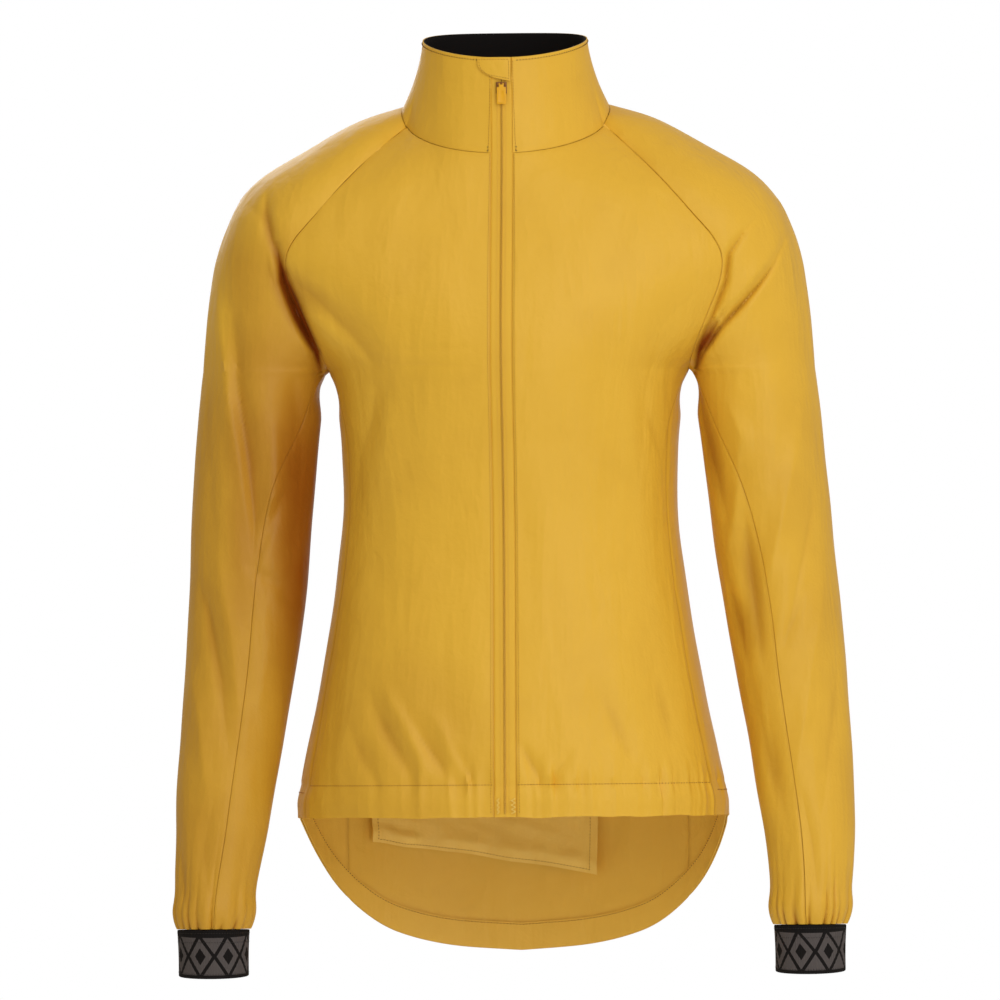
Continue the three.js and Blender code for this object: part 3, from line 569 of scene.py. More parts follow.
def fold_shade(rows, is_sleeve):
    """Painted shade of each point, from 0 to 1, for the cloth's colour: deeper in folds and gather grooves,
    near the body and in slack zones of the left sleeve, over the lower sleeves (more on the left one's front)
    and at the lower left of the front, with dark seam lines at the edges.
    """
    x = rows[..., 0]
    y = rows[..., 1]
    z = rows[..., 2]
    middle = sleeve_middle(rows, is_sleeve)[1]
    push = fold_push(rows, middle)
    depth = np.abs(push) * (push * (middle - y) > 0)
    shade = np.clip((depth - SHADE_FROM) / SHADE_SPAN, 0, 1)
    if is_sleeve:
        # Painted shadow on the left sleeve's front where it lies near the body, and painted shade where it
        # hangs slack
        left_front = smooth(middle - y, -30, 10) * (x < 0)
        near_body = smooth(x, *NEAR_BODY_X) * smooth(z, *NEAR_BODY_Z) * (1 - smooth(z, *UNDER_ARM_Z))
        shade = np.maximum(shade, NEAR_BODY_SHADE * near_body * left_front)
        slack = smooth(x, *SLACK_X) * smooth(z, *SLACK_LOW_Z) * (1 - smooth(z, *SLACK_TOP_Z))
        shade = np.maximum(shade, SLACK_SHADE * slack * left_front)
        # Painted shade over the sleeves below the underarm, stronger on the left one's front, where less
        # light falls
        lower = 1 - smooth(z, UNDERARM - 60, UNDERARM + 60)
        shade += (SLEEVE_SHADE + LEFT_SLEEVE_SHADE * left_front) * lower * (1 - shade)
        # Painted shade in the grooves of the gathers above the cuffs
        wave = gather_push(rows, 1 if x.mean() > 0 else -1)[0]
        shade = np.maximum(shade, np.clip(-0.3 * wave, 0, 0.7))
    else:
        # Painted shade at the lower left of the front, where less light falls
        lower_left = smooth(-z, 360, 480) * smooth(-x, -30, 70)
        shade += LOWER_LEFT_SHADE * lower_left * (y < SIDE_Y) * (1 - shade)
    edge = SLEEVE_EDGE_SHADE if is_sleeve else BODY_EDGE_SHADE
    shade[:, 0] = np.maximum(shade[:, 0], edge)
    shade[:, -1] = np.maximum(shade[:, -1], edge)
    return shade


def uneven(x, seed):
    """Smooth uneven wave from -1 to 1, the same each time."""
    waves = np.sin(x + seed) + 0.7 * np.sin(x * 1.73 + 2.1 * seed) + 0.5 * np.sin(x * 2.9 + 0.7 * seed)
    return waves / 2.2


def outward_from_axis(points, centre_x, centre_y):
    return unit(stacked(points[..., 0] - centre_x, points[..., 1] - centre_y, 0))


def gather_push(rows, side):
    """Push of the uneven gathers of a sleeve end, deepest at the cuff, and the sleeve's axis."""
    z = rows[..., 2]
    centre_x = side * (read(SLEEVE, "z", "outer", z) + read(SLEEVE, "z", "inner", z)) / 2 + sleeve_sway(z)
    centre_y = read(SLEEVE, "z", "middle", z)
    turn = np.arctan2(rows[..., 1] - centre_y, rows[..., 0] - centre_x)
    phase = turn * GATHERS + 3.0 * uneven(turn * 3, 1.3 + side)
    reach = 22 + 16 * uneven(turn * 9, 4.0 + side)
    rise = np.maximum(z - CUFF_TOP, 0)
    fade = np.exp(-rise / np.maximum(reach, 4))
    wave = (np.abs(np.sin(phase / 2)) ** 0.75 - 0.64) * (1 + 0.5 * uneven(turn * 7, 2.0))
    swell = 2.4 * np.exp(-((rise - 14) / 11) ** 2) - 0.9 * np.exp(-(rise / 4) ** 2)
    gathers = np.where(z < GATHERS_TOP, GATHER_DEPTH * wave * fade, 0)
    return gathers, np.where(z < GATHERS_TOP, swell, 0), centre_x, centre_y


def gathered(rows, side):
    """A sleeve end gathered into its cuff."""
    wave, swell, centre_x, centre_y = gather_push(rows, side)
    return rows + (wave + swell)[..., None] * outward_from_axis(rows, centre_x, centre_y)


def puckered(rows):
    """Puckers of the front hem channel, along its stitch line and a little above it."""
    x = rows[..., 0]
    rise = rows[..., 2] - HEM_FRONT
    line = rise - HEM_CHANNEL
    along = x + 0.6 * rows[..., 1]
    wave = uneven(along / PUCKER_PITCH, 0.8) * (0.6 + 0.6 * uneven(along / 15, 3.0))
    above = np.where(line > 0, np.exp(-(line / 13) ** 2), 0.45 + 0.55 * np.exp(-(line / 8) ** 2))
    groove = -0.7 * np.exp(-(line / 2.2) ** 2)
    swell = 1.3 * np.exp(-((rise - 13) / 8) ** 2)
    shown = smooth(SIDE_Y + 20 - rows[..., 1], -20, 30)
    push = (PUCKER_DEPTH * wave * above + groove + swell) * shown
    result = rows + push[..., None] * outward_from_axis(rows, 0, SIDE_Y)
    result[..., 2] += 0.7 * uneven(along / 14, 1.7) * np.exp(-(rise / 9) ** 2) * shown
    return result


def softened(rows, is_sleeve):
    """Long low waves that keep thin cloth from looking hard."""
    x = rows[..., 0]
    y = rows[..., 1]
    z = rows[..., 2]
    wave = uneven(x / 27 + z / 61, 1.0) + uneven(z / 33 - x / 70 + y / 40, 2.2)
    middle_x = np.where(is_sleeve, np.sign(x) * 215, 0)
    fade = smooth(np.abs(x), 12, 40)
    return rows + (0.55 * wave * fade)[..., None] * outward_from_axis(rows, middle_x, SIDE_Y)


def unit(vectors):
    return vectors / np.maximum(np.linalg.norm(vectors, axis=-1, keepdims=True), 1e-9)


def grid_normals(rows):
    """Outward directions of a grid of points."""
    return unit(np.cross(np.gradient(rows, axis=1), np.gradient(rows, axis=0)))


def panel_normals(panels):
    """Outward directions of the panels, the same on both sides of a seam."""
    normals = {}
    sums = {}
    for name, rows in panels.items():
        normals[name] = grid_normals(rows)
    edges = {name: rim_indices(rows) for name, rows in panels.items()}
    for name, rows in panels.items():
        for r, c in edges[name]:
            key = tuple(np.round(rows[r, c] * 10).astype(int))
            sums[key] = sums.get(key, 0) + normals[name][r, c]
    for name, rows in panels.items():
        for r, c in edges[name]:
            normals[name][r, c] = unit(sums[tuple(np.round(rows[r, c] * 10).astype(int))])
    return normals


def rim_indices(rows):
    """Rows and columns of the points along a grid's rim."""
    last_row = rows.shape[0] - 1
    last_column = rows.shape[1] - 1
    rim = {(r, c) for r in range(last_row + 1) for c in (0, last_column)}
    rim |= {(r, c) for r in (0, last_row) for c in range(last_column + 1)}
    return sorted(rim)


def rolled(rows, normals, seams):
    """Draws a panel's seam edges apart by half the seam's space, and down into the seam."""
    result = rows.copy()
    inside = {"left": (slice(None), 0, slice(None), 1), "right": (slice(None), -1, slice(None), -2),
              "bottom": (0, slice(None), 1, slice(None)), "top": (-1, slice(None), -2, slice(None))}
    for side in seams:
        r, c, near_r, near_c = inside[side]
        result[r, c] += unit(rows[near_r, near_c] - rows[r, c]) * SEAM / 2 - normals[r, c] * SEAM_DIP
    return result


# Meshes, and what each piece moves with and is made of


def wall_object(name, outer, inner, closed=False):
    """A thin closed wall between two grids of points given in millimetres, with a cloth UV map."""
    count_r, count_c = outer.shape[:2]
    if closed:
        outer = np.concatenate([outer, outer[:, :1]], axis=1)
        inner = np.concatenate([inner, inner[:, :1]], axis=1)
    spans = count_c if closed else count_c - 1
    index = np.arange(count_r * count_c).reshape(count_r, count_c)
    if closed:
        index = np.concatenate([index, index[:, :1]], axis=1)
    back = index + count_r * count_c
    across = np.cumsum(np.linalg.norm(np.diff(outer, axis=1, prepend=outer[:, :1]), axis=-1), axis=1)
    along = np.cumsum(np.linalg.norm(np.diff(outer, axis=0, prepend=outer[:1]), axis=-1), axis=0)
    if not closed:
        across = across - across[:, spans // 2:spans // 2 + 1]
    uv = np.stack([across, along], axis=-1) * MM

    def corners(grid):
        return np.stack([grid[:-1, :-1], grid[:-1, 1:], grid[1:, 1:], grid[1:, :-1]], axis=2)

    map_corners = corners(uv).reshape(-1, 4, 2)
    faces = [corners(index).reshape(-1, 4), corners(back).reshape(-1, 4)[:, ::-1]]
    maps = [map_corners, map_corners[:, ::-1]]

    def rim(a, b, a_uv, b_uv):
        faces.append(np.stack([a[:-1], b[:-1], b[1:], a[1:]], axis=-1))
        maps.append(np.stack([a_uv[:-1], b_uv[:-1], b_uv[1:], a_uv[1:]], axis=1))

    rim(index[0], back[0], uv[0], uv[0])
    rim(back[-1], index[-1], uv[-1], uv[-1])
    if not closed:
        rim(back[:, 0], index[:, 0], uv[:, 0], uv[:, 0])
        rim(index[:, -1], back[:, -1], uv[:, -1], uv[:, -1])
    points = np.concatenate([outer[:, :count_c].reshape(-1, 3), inner[:, :count_c].reshape(-1, 3)]) * MM
    obj = linked_mesh(name, points, np.concatenate(faces).tolist())
    layer = obj.data.uv_layers.new(name="cloth")
    layer.data.foreach_set("uv", np.concatenate(maps).reshape(-1).astype(np.float32))
    obj.data.validate()
    obj.data.update()
    smoothed(obj)
    return obj


def linked_mesh(name, points, faces):
    """A new object in the scene, of points in metres."""
    mesh = bpy.data.meshes.new(name)
    mesh.from_pydata(points.tolist(), [], faces)
    mesh.update()
    obj = bpy.data.objects.new(name, mesh)
    bpy.context.scene.collection.objects.link(obj)
    return obj


def picked(obj):
    """Makes this the one selected object."""
    bpy.ops.object.select_all(action="DESELECT")
    obj.select_set(True)
    bpy.context.view_layer.objects.active = obj


def smoothed(obj, angle=40):
    picked(obj)
    bpy.ops.object.shade_smooth_by_angle(angle=math.radians(angle))
    obj.select_set(False)


def placed(obj, material, node=None, body="jacket"):
    """Attaches a piece to what it moves with, hides the imported part it stands for and gives it its
    material.
    """
    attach(obj, body)
    if node:
        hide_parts(node)
    obj.data.materials.append(MATERIALS[material])


def side_word(side):
    """Name of the side with this sign of X."""
    return "right" if side > 0 else "left"


def sizes():
    """Sizes that a user can change in the panel."""
    return bpy.context.scene.jacket_sizes


def cloth_thickness():
    return sizes().cloth / MM


# Outer points, outward directions and painted fold shade of the shell panels, by name, and the materials
SHELL = {}
NORMALS = {}
SHADE = {}
MATERIALS = {}


def seams_of(name):
    """Edges of a panel that lie in a seam."""
    if name == "collar":
        return ("bottom",)
    if "sleeve" in name:
        return ("left", "right", "top", "bottom")
    return ("left", "right", "top")


def collar_point(base, v):
    """Collar surface above a point of the neck edge; v is 0 at the seam and 1 at the top edge."""
    turn = np.arctan2(base[..., 0] / NECK_HALF[0], (NECK_MIDDLE_Y - base[..., 1]) / NECK_HALF[1])
    beside_zip = (np.abs(base[..., 0]) < ZIP_HALF + 1) & (base[..., 1] < 0)
    top_x = np.where(beside_zip, base[..., 0], COLLAR_TOP_HALF[0] * np.sin(turn))
    top_y = COLLAR_TOP_MIDDLE_Y - COLLAR_TOP_HALF[1] * np.cos(turn)
    top_z = COLLAR_TOP_Z - COLLAR_TOP_DIP * np.cos(turn) - COLLAR_TOP_BOW * np.cos(2 * turn)
    lean = 1 - (1 - v) ** 1.5
    x = mix(base[..., 0], top_x, lean)
    y = mix(base[..., 1], top_y, lean)
    return stacked(x, y, mix(base[..., 2], top_z, v))


def make_shell():
    """Works out the outer points and directions of every shell panel."""
    plain = {"front_right": front_rows(), "side_right": side_rows()}
    sleeves = {"sleeve_outer_right": sleeve_rows(), "sleeve_under_right": under_sleeve_rows()}
    for name, rows in list(plain.items()):
        plain[name.replace("right", "left")] = mirrored(rows)
    plain["back"] = back_rows()
    for name, rows in list(sleeves.items()):
        sleeves[name.replace("right", "left")] = mirrored(rows)
    for name, rows in plain.items():
        SHELL[name] = softened(puckered(draped(rows, False)), False)
    for name, rows in sleeves.items():
        side = 1 if name.endswith("right") else -1
        SHELL[name] = softened(gathered(draped(rows, True), side), True)
    join_raglan()
    for name, rows in SHELL.items():
        SHADE[name] = fold_shade(rows, "sleeve" in name)
    neck = np.concatenate([
        SHELL["front_right"][-1],
        SHELL["sleeve_outer_right"][-1][1:],
        SHELL["back"][-1][1:],
        SHELL["sleeve_outer_left"][-1][1:],
        SHELL["front_left"][-1][1:],
    ])
    neck = evenly(neck, COLLAR_COLUMNS)
    soft = neck.copy()
    for _ in range(60):
        soft[1:-1] = (soft[:-2] + 2 * soft[1:-1] + soft[2:]) / 4
    shares = counted(COLLAR_ROWS)
    SHELL["collar"] = np.array([collar_point(mix(neck, soft, smooth(v, 0, 0.4)), v) for v in shares])
    NORMALS.update(panel_normals(SHELL))


def lengths_along(line):
    steps = np.linalg.norm(np.diff(line, axis=0), axis=-1)
    return np.concatenate([np.zeros((1,) + steps.shape[1:]), np.cumsum(steps, axis=0)])


def read_line(at, lengths, values):
    """Values of a line at these lengths along it."""
    return np.stack([np.interp(at, lengths, column) for column in values.T], axis=-1)


def evenly(line, count):
    """The same line with points at even steps."""
    lengths = lengths_along(line)
    return read_line(np.linspace(0, lengths[-1], count), lengths, line)


def join_raglan():
    """Both pieces at an armhole seam take the body's edge."""
    for side, flip in (("right", False), ("left", True)):
        sleeve = SHELL["sleeve_outer_" + side]
        first = len(sleeve) - YOKE_ROWS - 1
        body_first = len(SHELL["back"]) - YOKE_ROWS - 1
        front_edge = SHELL["front_" + side][body_first:, 0 if flip else -1]
        back_edge = SHELL["back"][body_first:, -1 if flip else 0]
        sleeve[first:, -1 if flip else 0] = front_edge
        sleeve[first:, 0 if flip else -1] = back_edge
        under = SHELL["sleeve_under_" + side]
        side_panel = SHELL["side_" + side]
        edge = side_panel[-1][::-1]
        under[-1] = read_line(counted(under.shape[1] - 1), np.linspace(0, 1, len(edge)), edge)


def on_panel(name, row, column, lift=0.0):
    """Point and direction on a panel at a fractional row and column, in millimetres."""
    rows = SHELL[name]
    row = np.clip(row, 0, rows.shape[0] - 1.001)
    column = np.clip(column, 0, rows.shape[1] - 1.001)
    r = np.floor(row).astype(int)
    c = np.floor(column).astype(int)
    fr = (row - r)[..., None]
    fc = (column - c)[..., None]

    def blend(grid):
        low = mix(grid[r, c], grid[r, c + 1], fc)
        return mix(low, mix(grid[r + 1, c], grid[r + 1, c + 1], fc), fr)

    normal = unit(blend(NORMALS[name]))
    return blend(rows) + normal * lift, normal


def resampled(points, normals, pitch):
    """Points at even steps along a line, with their directions."""
    lengths = lengths_along(points)
    count = max(int(lengths[-1] / pitch), 1)
    at = (np.arange(count) + 0.5) * lengths[-1] / count
    run = read_line(at + 0.3, lengths, points) - read_line(at - 0.3, lengths, points)
    return read_line(at, lengths, points), unit(run), read_line(at, lengths, normals)


def thread_mesh(lines, pitch=2.6, length=1.9, radius=0.24):
    """Stitches along lines of (points, directions), each a small rounded bead of thread."""
    points = []
    faces = []
    start = 0
    ring = np.radians(np.arange(5) * 72)
    for line, normals in lines:
        place, run, up = resampled(line, normals, pitch)
        side = unit(np.cross(run, up))
        up = np.cross(side, run)
        for p, r, s, u in zip(place, run, side, up):
            circle = np.cos(ring)[:, None] * s + np.sin(ring)[:, None] * u
            points.append(p - r * length / 2 - u * radius * 0.5)
            points.extend(p - r * length * 0.28 + circle * radius)
            points.extend(p + r * length * 0.28 + circle * radius)
            points.append(p + r * length / 2 - u * radius * 0.5)
            for i in range(5):
                j = (i + 1) % 5
                faces.append((start, start + 1 + j, start + 1 + i))
                faces.append((start + 1 + i, start + 1 + j, start + 6 + j, start + 6 + i))
                faces.append((start + 11, start + 6 + i, start + 6 + j))
            start += 12
    return np.array(points) * MM, faces


def add_thread(name, lines, colour="thread", **measures):
    """One object of all the stitches along these lines."""
    obj = linked_mesh(name, *thread_mesh(lines, **measures))
    picked(obj)
    bpy.ops.object.mode_set(mode="EDIT")
    bpy.ops.mesh.select_all(action="SELECT")
    bpy.ops.mesh.normals_make_consistent(inside=False)
    bpy.ops.object.mode_set(mode="OBJECT")
    smoothed(obj, 80)
    placed(obj, colour)


def sheet_of(outer, closed=False):
    """Works out the flat width, length and area of a cloth's cut, and keeps none of them."""
    grid = np.concatenate([outer, outer[:, :1]], axis=1) if closed else outer
    widths = np.linalg.norm(np.diff(grid, axis=1), axis=-1).sum(axis=1)
    lengths = np.linalg.norm(np.diff(grid, axis=0), axis=-1).sum(axis=0)
    across = grid[:-1, 1:] - grid[1:, :-1]
    down = grid[1:, 1:] - grid[:-1, :-1]
    area = np.linalg.norm(np.cross(across, down), axis=-1).sum() / 2
    width = max(widths.max() * MM, 0.0101)
    length = lengths.max() * MM
    area = float(np.clip(area * MM * MM, 0.31 * width * length, width * length))


def make_panel(name):
    """A cloth panel with its reverse and its painted fold shade."""
    outer = rolled(SHELL[name], NORMALS[name], seams_of(name))
    obj = wall_object("cloth_" + name, outer, outer - NORMALS[name] * cloth_thickness())
    placed(obj, "nylon", name)
    obj.data.materials.append(MATERIALS["reverse"])
    spans = (outer.shape[0] - 1) * (outer.shape[1] - 1)
    sides = np.zeros(len(obj.data.polygons), np.int32)
    sides[spans:2 * spans] = 1
    obj.data.polygons.foreach_set("material_index", sides)
    # The fold attribute carries the painted shade, at half strength on the reverse
    if name in SHADE:
        fold = obj.data.attributes.new("fold", "FLOAT", "POINT")
        shade = SHADE[name].reshape(-1)
        fold.data.foreach_set("value", np.concatenate([shade, shade * 0.5]).astype(np.float32))
    sheet_of(outer)


# Pieces inside and round the shell


def make_collar_lining():
    normals = NORMALS["collar"][1:, 3:-3]
    outer = SHELL["collar"][1:, 3:-3] - normals * LINING_SINK
    outer[-1] += normals[-1] * 0.5
    obj = wall_object("lining_collar", outer, outer - normals * LINING_CLOTH)
    placed(obj, "lining", "collar_lining")
    sheet_of(outer)


def tail_strip():
    """Lowest strip of the side panels and back, from the right side seam round to the left one."""
    def strip(grids):
        parts = (grids["side_right"][:12], grids["back"][:12, 1:], grids["side_left"][:12, 1:])
        return np.concatenate(parts, axis=1)

    return strip(SHELL), strip(NORMALS)


def risen(rows, normals, rise):
    """A line this far above a strip's lowest row, along the cloth."""
    run = lengths_along(rows)
    columns = range(rows.shape[1])
    points = np.array([read_line(rise, run[:, c], rows[:, c]) for c in columns])
    ups = np.array([read_line(rise, run[:, c], normals[:, c]) for c in columns])
    return points, ups


def make_tail_facing():
    rows, normals = tail_strip()
    rows, normals = rows[:, 3:-3], normals[:, 3:-3]
    levels = [risen(rows, normals, rise) for rise in np.linspace(0.3, FACING_WIDTH, 9)]
    outer = np.array([points - ups * FACING_SINK for points, ups in levels])
    ups = np.array([level[1] for level in levels])
    obj = wall_object("facing_tail", outer, outer - ups * FACING_CLOTH)
    placed(obj, "reverse", "tail_facing")
    sheet_of(outer)


def pocket_grid():
    """The pocket bag on the smooth form, with its slanting lower edge."""
    columns = counted(POCKET_COLUMNS)
    turn = mix(POCKET["from"], POCKET["to"], columns)
    turn = np.where(turn > 180, turn - 360, turn)
    low = mix(POCKET["low_left"], POCKET["low_right"], columns) + 3.0 * np.sin(columns * np.pi)
    low = low + 0.9 * uneven(columns * 9, 3.0)
    return np.array([body_point(turn, mix(low, POCKET["high"], v)) for v in counted(POCKET_ROWS)])


def make_back_pocket():
    rows = draped(pocket_grid(), False)
    normals = grid_normals(rows)
    share = counted(POCKET_ROWS)[:, None]
    loose = 6.5 * (1 - smooth(share, 0, 0.55)) * (1 + 0.25 * uneven(rows[..., 0] / 16, 3.0))
    crease = 1.3 * np.exp(-((share - 0.07) / 0.035) ** 2) * (1 + uneven(rows[..., 0] / 7, 2.0))
    crease = crease + 0.9 * uneven(rows[..., 0] / 11 + rows[..., 2] / 5, 1.0) * uneven(rows[..., 2] / 9, 2.0)
    outer = softened(rows, False) - normals * (POCKET_SINK + loose + crease)[..., None]
    inner = outer - normals * FACING_CLOTH
    obj = wall_object("pocket_back", outer, inner)
    placed(obj, "pocket", "back_pocket")
    sheet_of(outer)
    return inner, -normals


def zip_edge(side):
    """Rows of the zip tape, from the centre gap to just under the front's edge."""
    edge = np.concatenate([SHELL["front_right"][:, 0], SHELL["collar"][1:, 0]])
    near = stacked(side * ZIP_SPLIT, edge[:, 1], edge[:, 2])
    far = stacked(side * (ZIP_HALF + TAPE_UNDER), edge[:, 1], edge[:, 2])
    pair = (near, far) if side > 0 else (far, near)
    rows = np.stack([mix(pair[0], pair[1], c) for c in counted(TAPE_COLUMNS)], axis=1)
    across = np.abs(rows[..., 0])
    rows[..., 1] -= 0.25 * np.cos(across / ZIP_HALF * np.pi / 2) + 0.15 * uneven(rows[..., 2] / 9, 1.0)
    under = np.maximum(across - ZIP_HALF, 0)
    rows[..., 1] += 0.65 * smooth(across, ZIP_HALF - 1.2, ZIP_HALF) + 0.05 * under ** 2
    return rows


def make_zip_tape(side):
    rows = zip_edge(side)
    normals = grid_normals(rows)
    outer = rows - normals * ZIP_SINK
    obj = wall_object("zip_tape_cloth_" + side_word(side), outer, outer - normals * cloth_thickness())
    placed(obj, "tape", "zip_tape_" + side_word(side))
    sheet_of(outer)


def zip_surface(x, z):
    """Point and direction on the outside of the zip tapes."""
    rows = zip_edge(1)
    heights = rows[:, 0, 2]
    y = np.interp(z, heights, rows[:, 0, 1]) + 0.25 * (1 - np.cos(x / ZIP_HALF * np.pi / 2)) - ZIP_SINK
    slope = np.interp(z, heights, np.gradient(rows[:, 0, 1]) / np.gradient(heights))
    normal = stacked(0 * np.asarray(y), -1.0, slope)
    return stacked(x, y, z), normal / np.linalg.norm(normal, axis=-1, keepdims=True)


def cuff_ring(side, share, sink=0.0):
    """Ring of a cuff; share is 0 at the lower edge and 1 at the sleeve."""
    angles = np.arange(CUFF_COLUMNS) * 360 / CUFF_COLUMNS
    ring = sleeve_ring(angles, CUFF_TOP)
    centre = (sleeve_ring(0.0, CUFF_TOP) + sleeve_ring(180.0, CUFF_TOP)) / 2
    rib = CUFF["rib"] * np.cos(np.radians(angles) * sizes().cuff_ribs)
    points = mix(centre, ring, mix(CUFF["low_scale"], CUFF["high_scale"], share))
    away = outward_from_axis(points, centre[0], centre[1])
    points = points + away * (rib - CUFF["waist"] * np.sin(np.pi * share) - sink)[:, None]
    drop = CUFF["front_drop"] * np.maximum(0, -np.sin(np.radians(angles))) - 0.8
    points[:, 2] = mix(CUFF_END, CUFF_TOP - SEAM, share) - drop * (1 - share)
    points[:, 0] *= side
    return points if side > 0 else points[::-1]


def make_cuff(side):
    shares = np.concatenate([[0.0, 0.012, 0.035], np.linspace(0.07, 0.93, 13), [0.965, 0.988, 1.0]])
    edge_in = np.zeros(len(shares))
    edge_in[[0, -1]] = 0.5
    edge_in[[1, -2]] = 0.15
    outer = np.array([cuff_ring(side, s, e) for s, e in zip(shares, edge_in)])
    inner = np.array([cuff_ring(side, s, ELASTIC - e) for s, e in zip(shares, edge_in)])
    obj = wall_object("cuff_band_" + side_word(side), outer, inner, closed=True)
    placed(obj, "elastic", "cuff_" + side_word(side))
    sheet_of(outer, closed=True)


def garage_grid(lift=0.0):
    """Outside of the garage: its lower edge slopes and its lower left corner is round."""
    columns = counted(GARAGE_COLUMNS)
    rows = []
    for v in counted(GARAGE_ROWS):
        drop = max(0.0, 1 - v * (GARAGE["high"] - GARAGE["low"]) / GARAGE["corner_height"])
        left = GARAGE["left"] + GARAGE["corner_width"] * (1 - math.sqrt(1 - drop * drop))
        x = mix(left, GARAGE["right"], columns)
        slope = GARAGE["slope"] * (GARAGE["right"] - x) / (GARAGE["right"] - GARAGE["left"])
        z = mix(GARAGE["low"] + slope, GARAGE["high"], v)
        y = collar_front_y(z) - GARAGE["lift"] - GARAGE["cloth"] + GARAGE["bend"] * x * x - lift
        y = y + 0.12 * uneven(x / 3 + z / 5, 1.0) + 0.35 * np.exp(-((z - GARAGE["high"]) / 2.5) ** 2)
        rows.append(stacked(x, y, z))
    return np.array(rows)


def collar_front_y(z):
    """How far forward the collar stands at its centre front."""
    base = stacked(0.0, YOKE["cfy"][-1], YOKE["cfz"][-1])
    top = collar_point(base, 1.0)
    share = np.minimum((z - base[2]) / (top[2] - base[2]), 1.0)
    return collar_point(base, share)[..., 1]


def make_garage():
    outer = garage_grid()
    normals = grid_normals(outer)
    obj = wall_object("zip_garage_cloth", outer, outer - normals * (GARAGE["cloth"] - 0.2))
    placed(obj, "nylon", "zip_garage")
    sheet_of(outer)


# Slider and pull tab


def opened(name):
    """Names the new primitive and opens it for editing, all of it selected."""
    obj = bpy.context.object
    obj.name = name
    bpy.ops.object.mode_set(mode="EDIT")
    bpy.ops.mesh.select_all(action="SELECT")
    return obj


def closed_at(centre):
    """Moves the shape being edited to its place, and ends the editing."""
    bpy.ops.transform.translate(value=tuple(c * MM for c in centre))
    bpy.ops.mesh.normals_make_consistent(inside=False)
    bpy.ops.object.mode_set(mode="OBJECT")


def start_box(name, half, centre, bevel=0.0, segments=2):
    """A bevelled box from the cube primitive, shaped in edit mode; sizes in millimetres."""
    bpy.ops.object.select_all(action="DESELECT")
    bpy.ops.mesh.primitive_cube_add(size=2, location=(0, 0, 0))
    obj = opened(name)
    bpy.ops.transform.resize(value=tuple(h * MM for h in half))
    if bevel:
        bpy.ops.mesh.bevel(offset=bevel * MM, segments=segments, affect="EDGES")
        bpy.ops.mesh.select_all(action="SELECT")
    closed_at(centre)
    return obj


def start_rod(name, radius, half_length, centre):
    """A rod from the cylinder primitive, turned in edit mode to lie along X."""
    bpy.ops.object.select_all(action="DESELECT")
    bpy.ops.mesh.primitive_cylinder_add(vertices=20, radius=radius * MM, depth=2 * half_length * MM)
    obj = opened(name)
    bpy.ops.transform.rotate(value=math.pi / 2, orient_axis="Y", center_override=(0, 0, 0))
    closed_at(centre)
    return obj


def combined(obj, other, operation):
    """Applies a boolean of the second object to the first, and removes the second."""
    modifier = obj.modifiers.new("shape", "BOOLEAN")
    modifier.operation = operation
    modifier.solver = "EXACT"
    modifier.object = other
    picked(obj)
    bpy.ops.object.modifier_apply(modifier=modifier.name)
    bpy.data.objects.remove(other, do_unlink=True)
    return obj


def make_slider():
    back = collar_front_y(SLIDER["low"]) + ZIP_SINK - SLIDER["clear"]
    middle_y = back - SLIDER["thick"] / 2
    middle_z = (SLIDER["low"] + SLIDER["high"]) / 2
    half_z = (SLIDER["high"] - SLIDER["low"]) / 2
    half = (SLIDER["half"], SLIDER["thick"] / 2, half_z)
    body = start_box("slider_body", half, (0, middle_y, middle_z), 0.5)
    front = back - SLIDER["thick"]
    cheek_front = PIVOT_Y - CHEEK["ahead"]
    cheek_back = front + CHEEK["sunk"]
    for side in (-1, 1):
        x = side * (SLIDER["slot"] + SLIDER["half"] - 0.6) / 2
        half = (CHEEK["half"], (cheek_back - cheek_front) / 2, CHEEK["half_height"])
        cheek = start_box("slider_cheek", half, (x, (cheek_front + cheek_back) / 2, CHEEK["height"]), 0.25)
        body = combined(body, cheek, "UNION")
    pin = start_rod("slider_pin", PIN["radius"], PIN["half_length"], (0, PIVOT_Y, PIVOT_Z))
    groove = start_box("slider_groove", (0.6, 0.5, half_z + 1), (0, front - 0.2, middle_z))
    body = combined(body, groove, "DIFFERENCE")
    smoothed(body, 35)
    # Slider and pin take a dark brown that paints the shade of the slot beside the pull
    placed(body, "shade_dark_plastic", "zip_slider")
    smoothed(pin, 35)
    placed(pin, "shade_dark_plastic", None)


def make_pull():
    top = PIVOT_Z + PULL["thick"] / 2
    bottom = top - PULL["length"]
    shoulder = top - PULL["neck_length"]
    half_y = PULL["thick"] / 2
    plate = start_box("pull_plate", (PULL["half"], half_y, (shoulder - bottom) / 2),
                      (0, PIVOT_Y, (shoulder + bottom) / 2), 0.42, 3)
    neck = start_box("pull_neck", (PULL["neck"], half_y, PULL["neck_length"] / 2 + 0.6),
                     (0, PIVOT_Y, (shoulder + top) / 2 - 0.6), 0.42, 3)
    plate = combined(plate, neck, "UNION")
    slot = start_box("pull_slot", (PULL["neck"] - 0.85, half_y + 1, 0.62), (0, PIVOT_Y, PIVOT_Z - 0.02), 0.2)
    plate = combined(plate, slot, "DIFFERENCE")
    dent = start_box("pull_dent", (PULL["half"] - 1.3, 0.25, 4.6), (0, PIVOT_Y - half_y, bottom + 6.0), 0.2)
    plate = combined(plate, dent, "DIFFERENCE")
    smoothed(plate, 35)
    placed(plate, "pull", "zip_pull", "pull")


# Stitches


def panel_line(name, row, first, last, count=90, lift=0.1):
    columns = np.linspace(first, last, count)
    return on_panel(name, np.full(count, float(row)), columns, lift)


def column_line(name, column, first, last, count=120, lift=0.1):
    rows = np.linspace(first, last, count)
    return on_panel(name, rows, np.full(count, float(column)), lift)


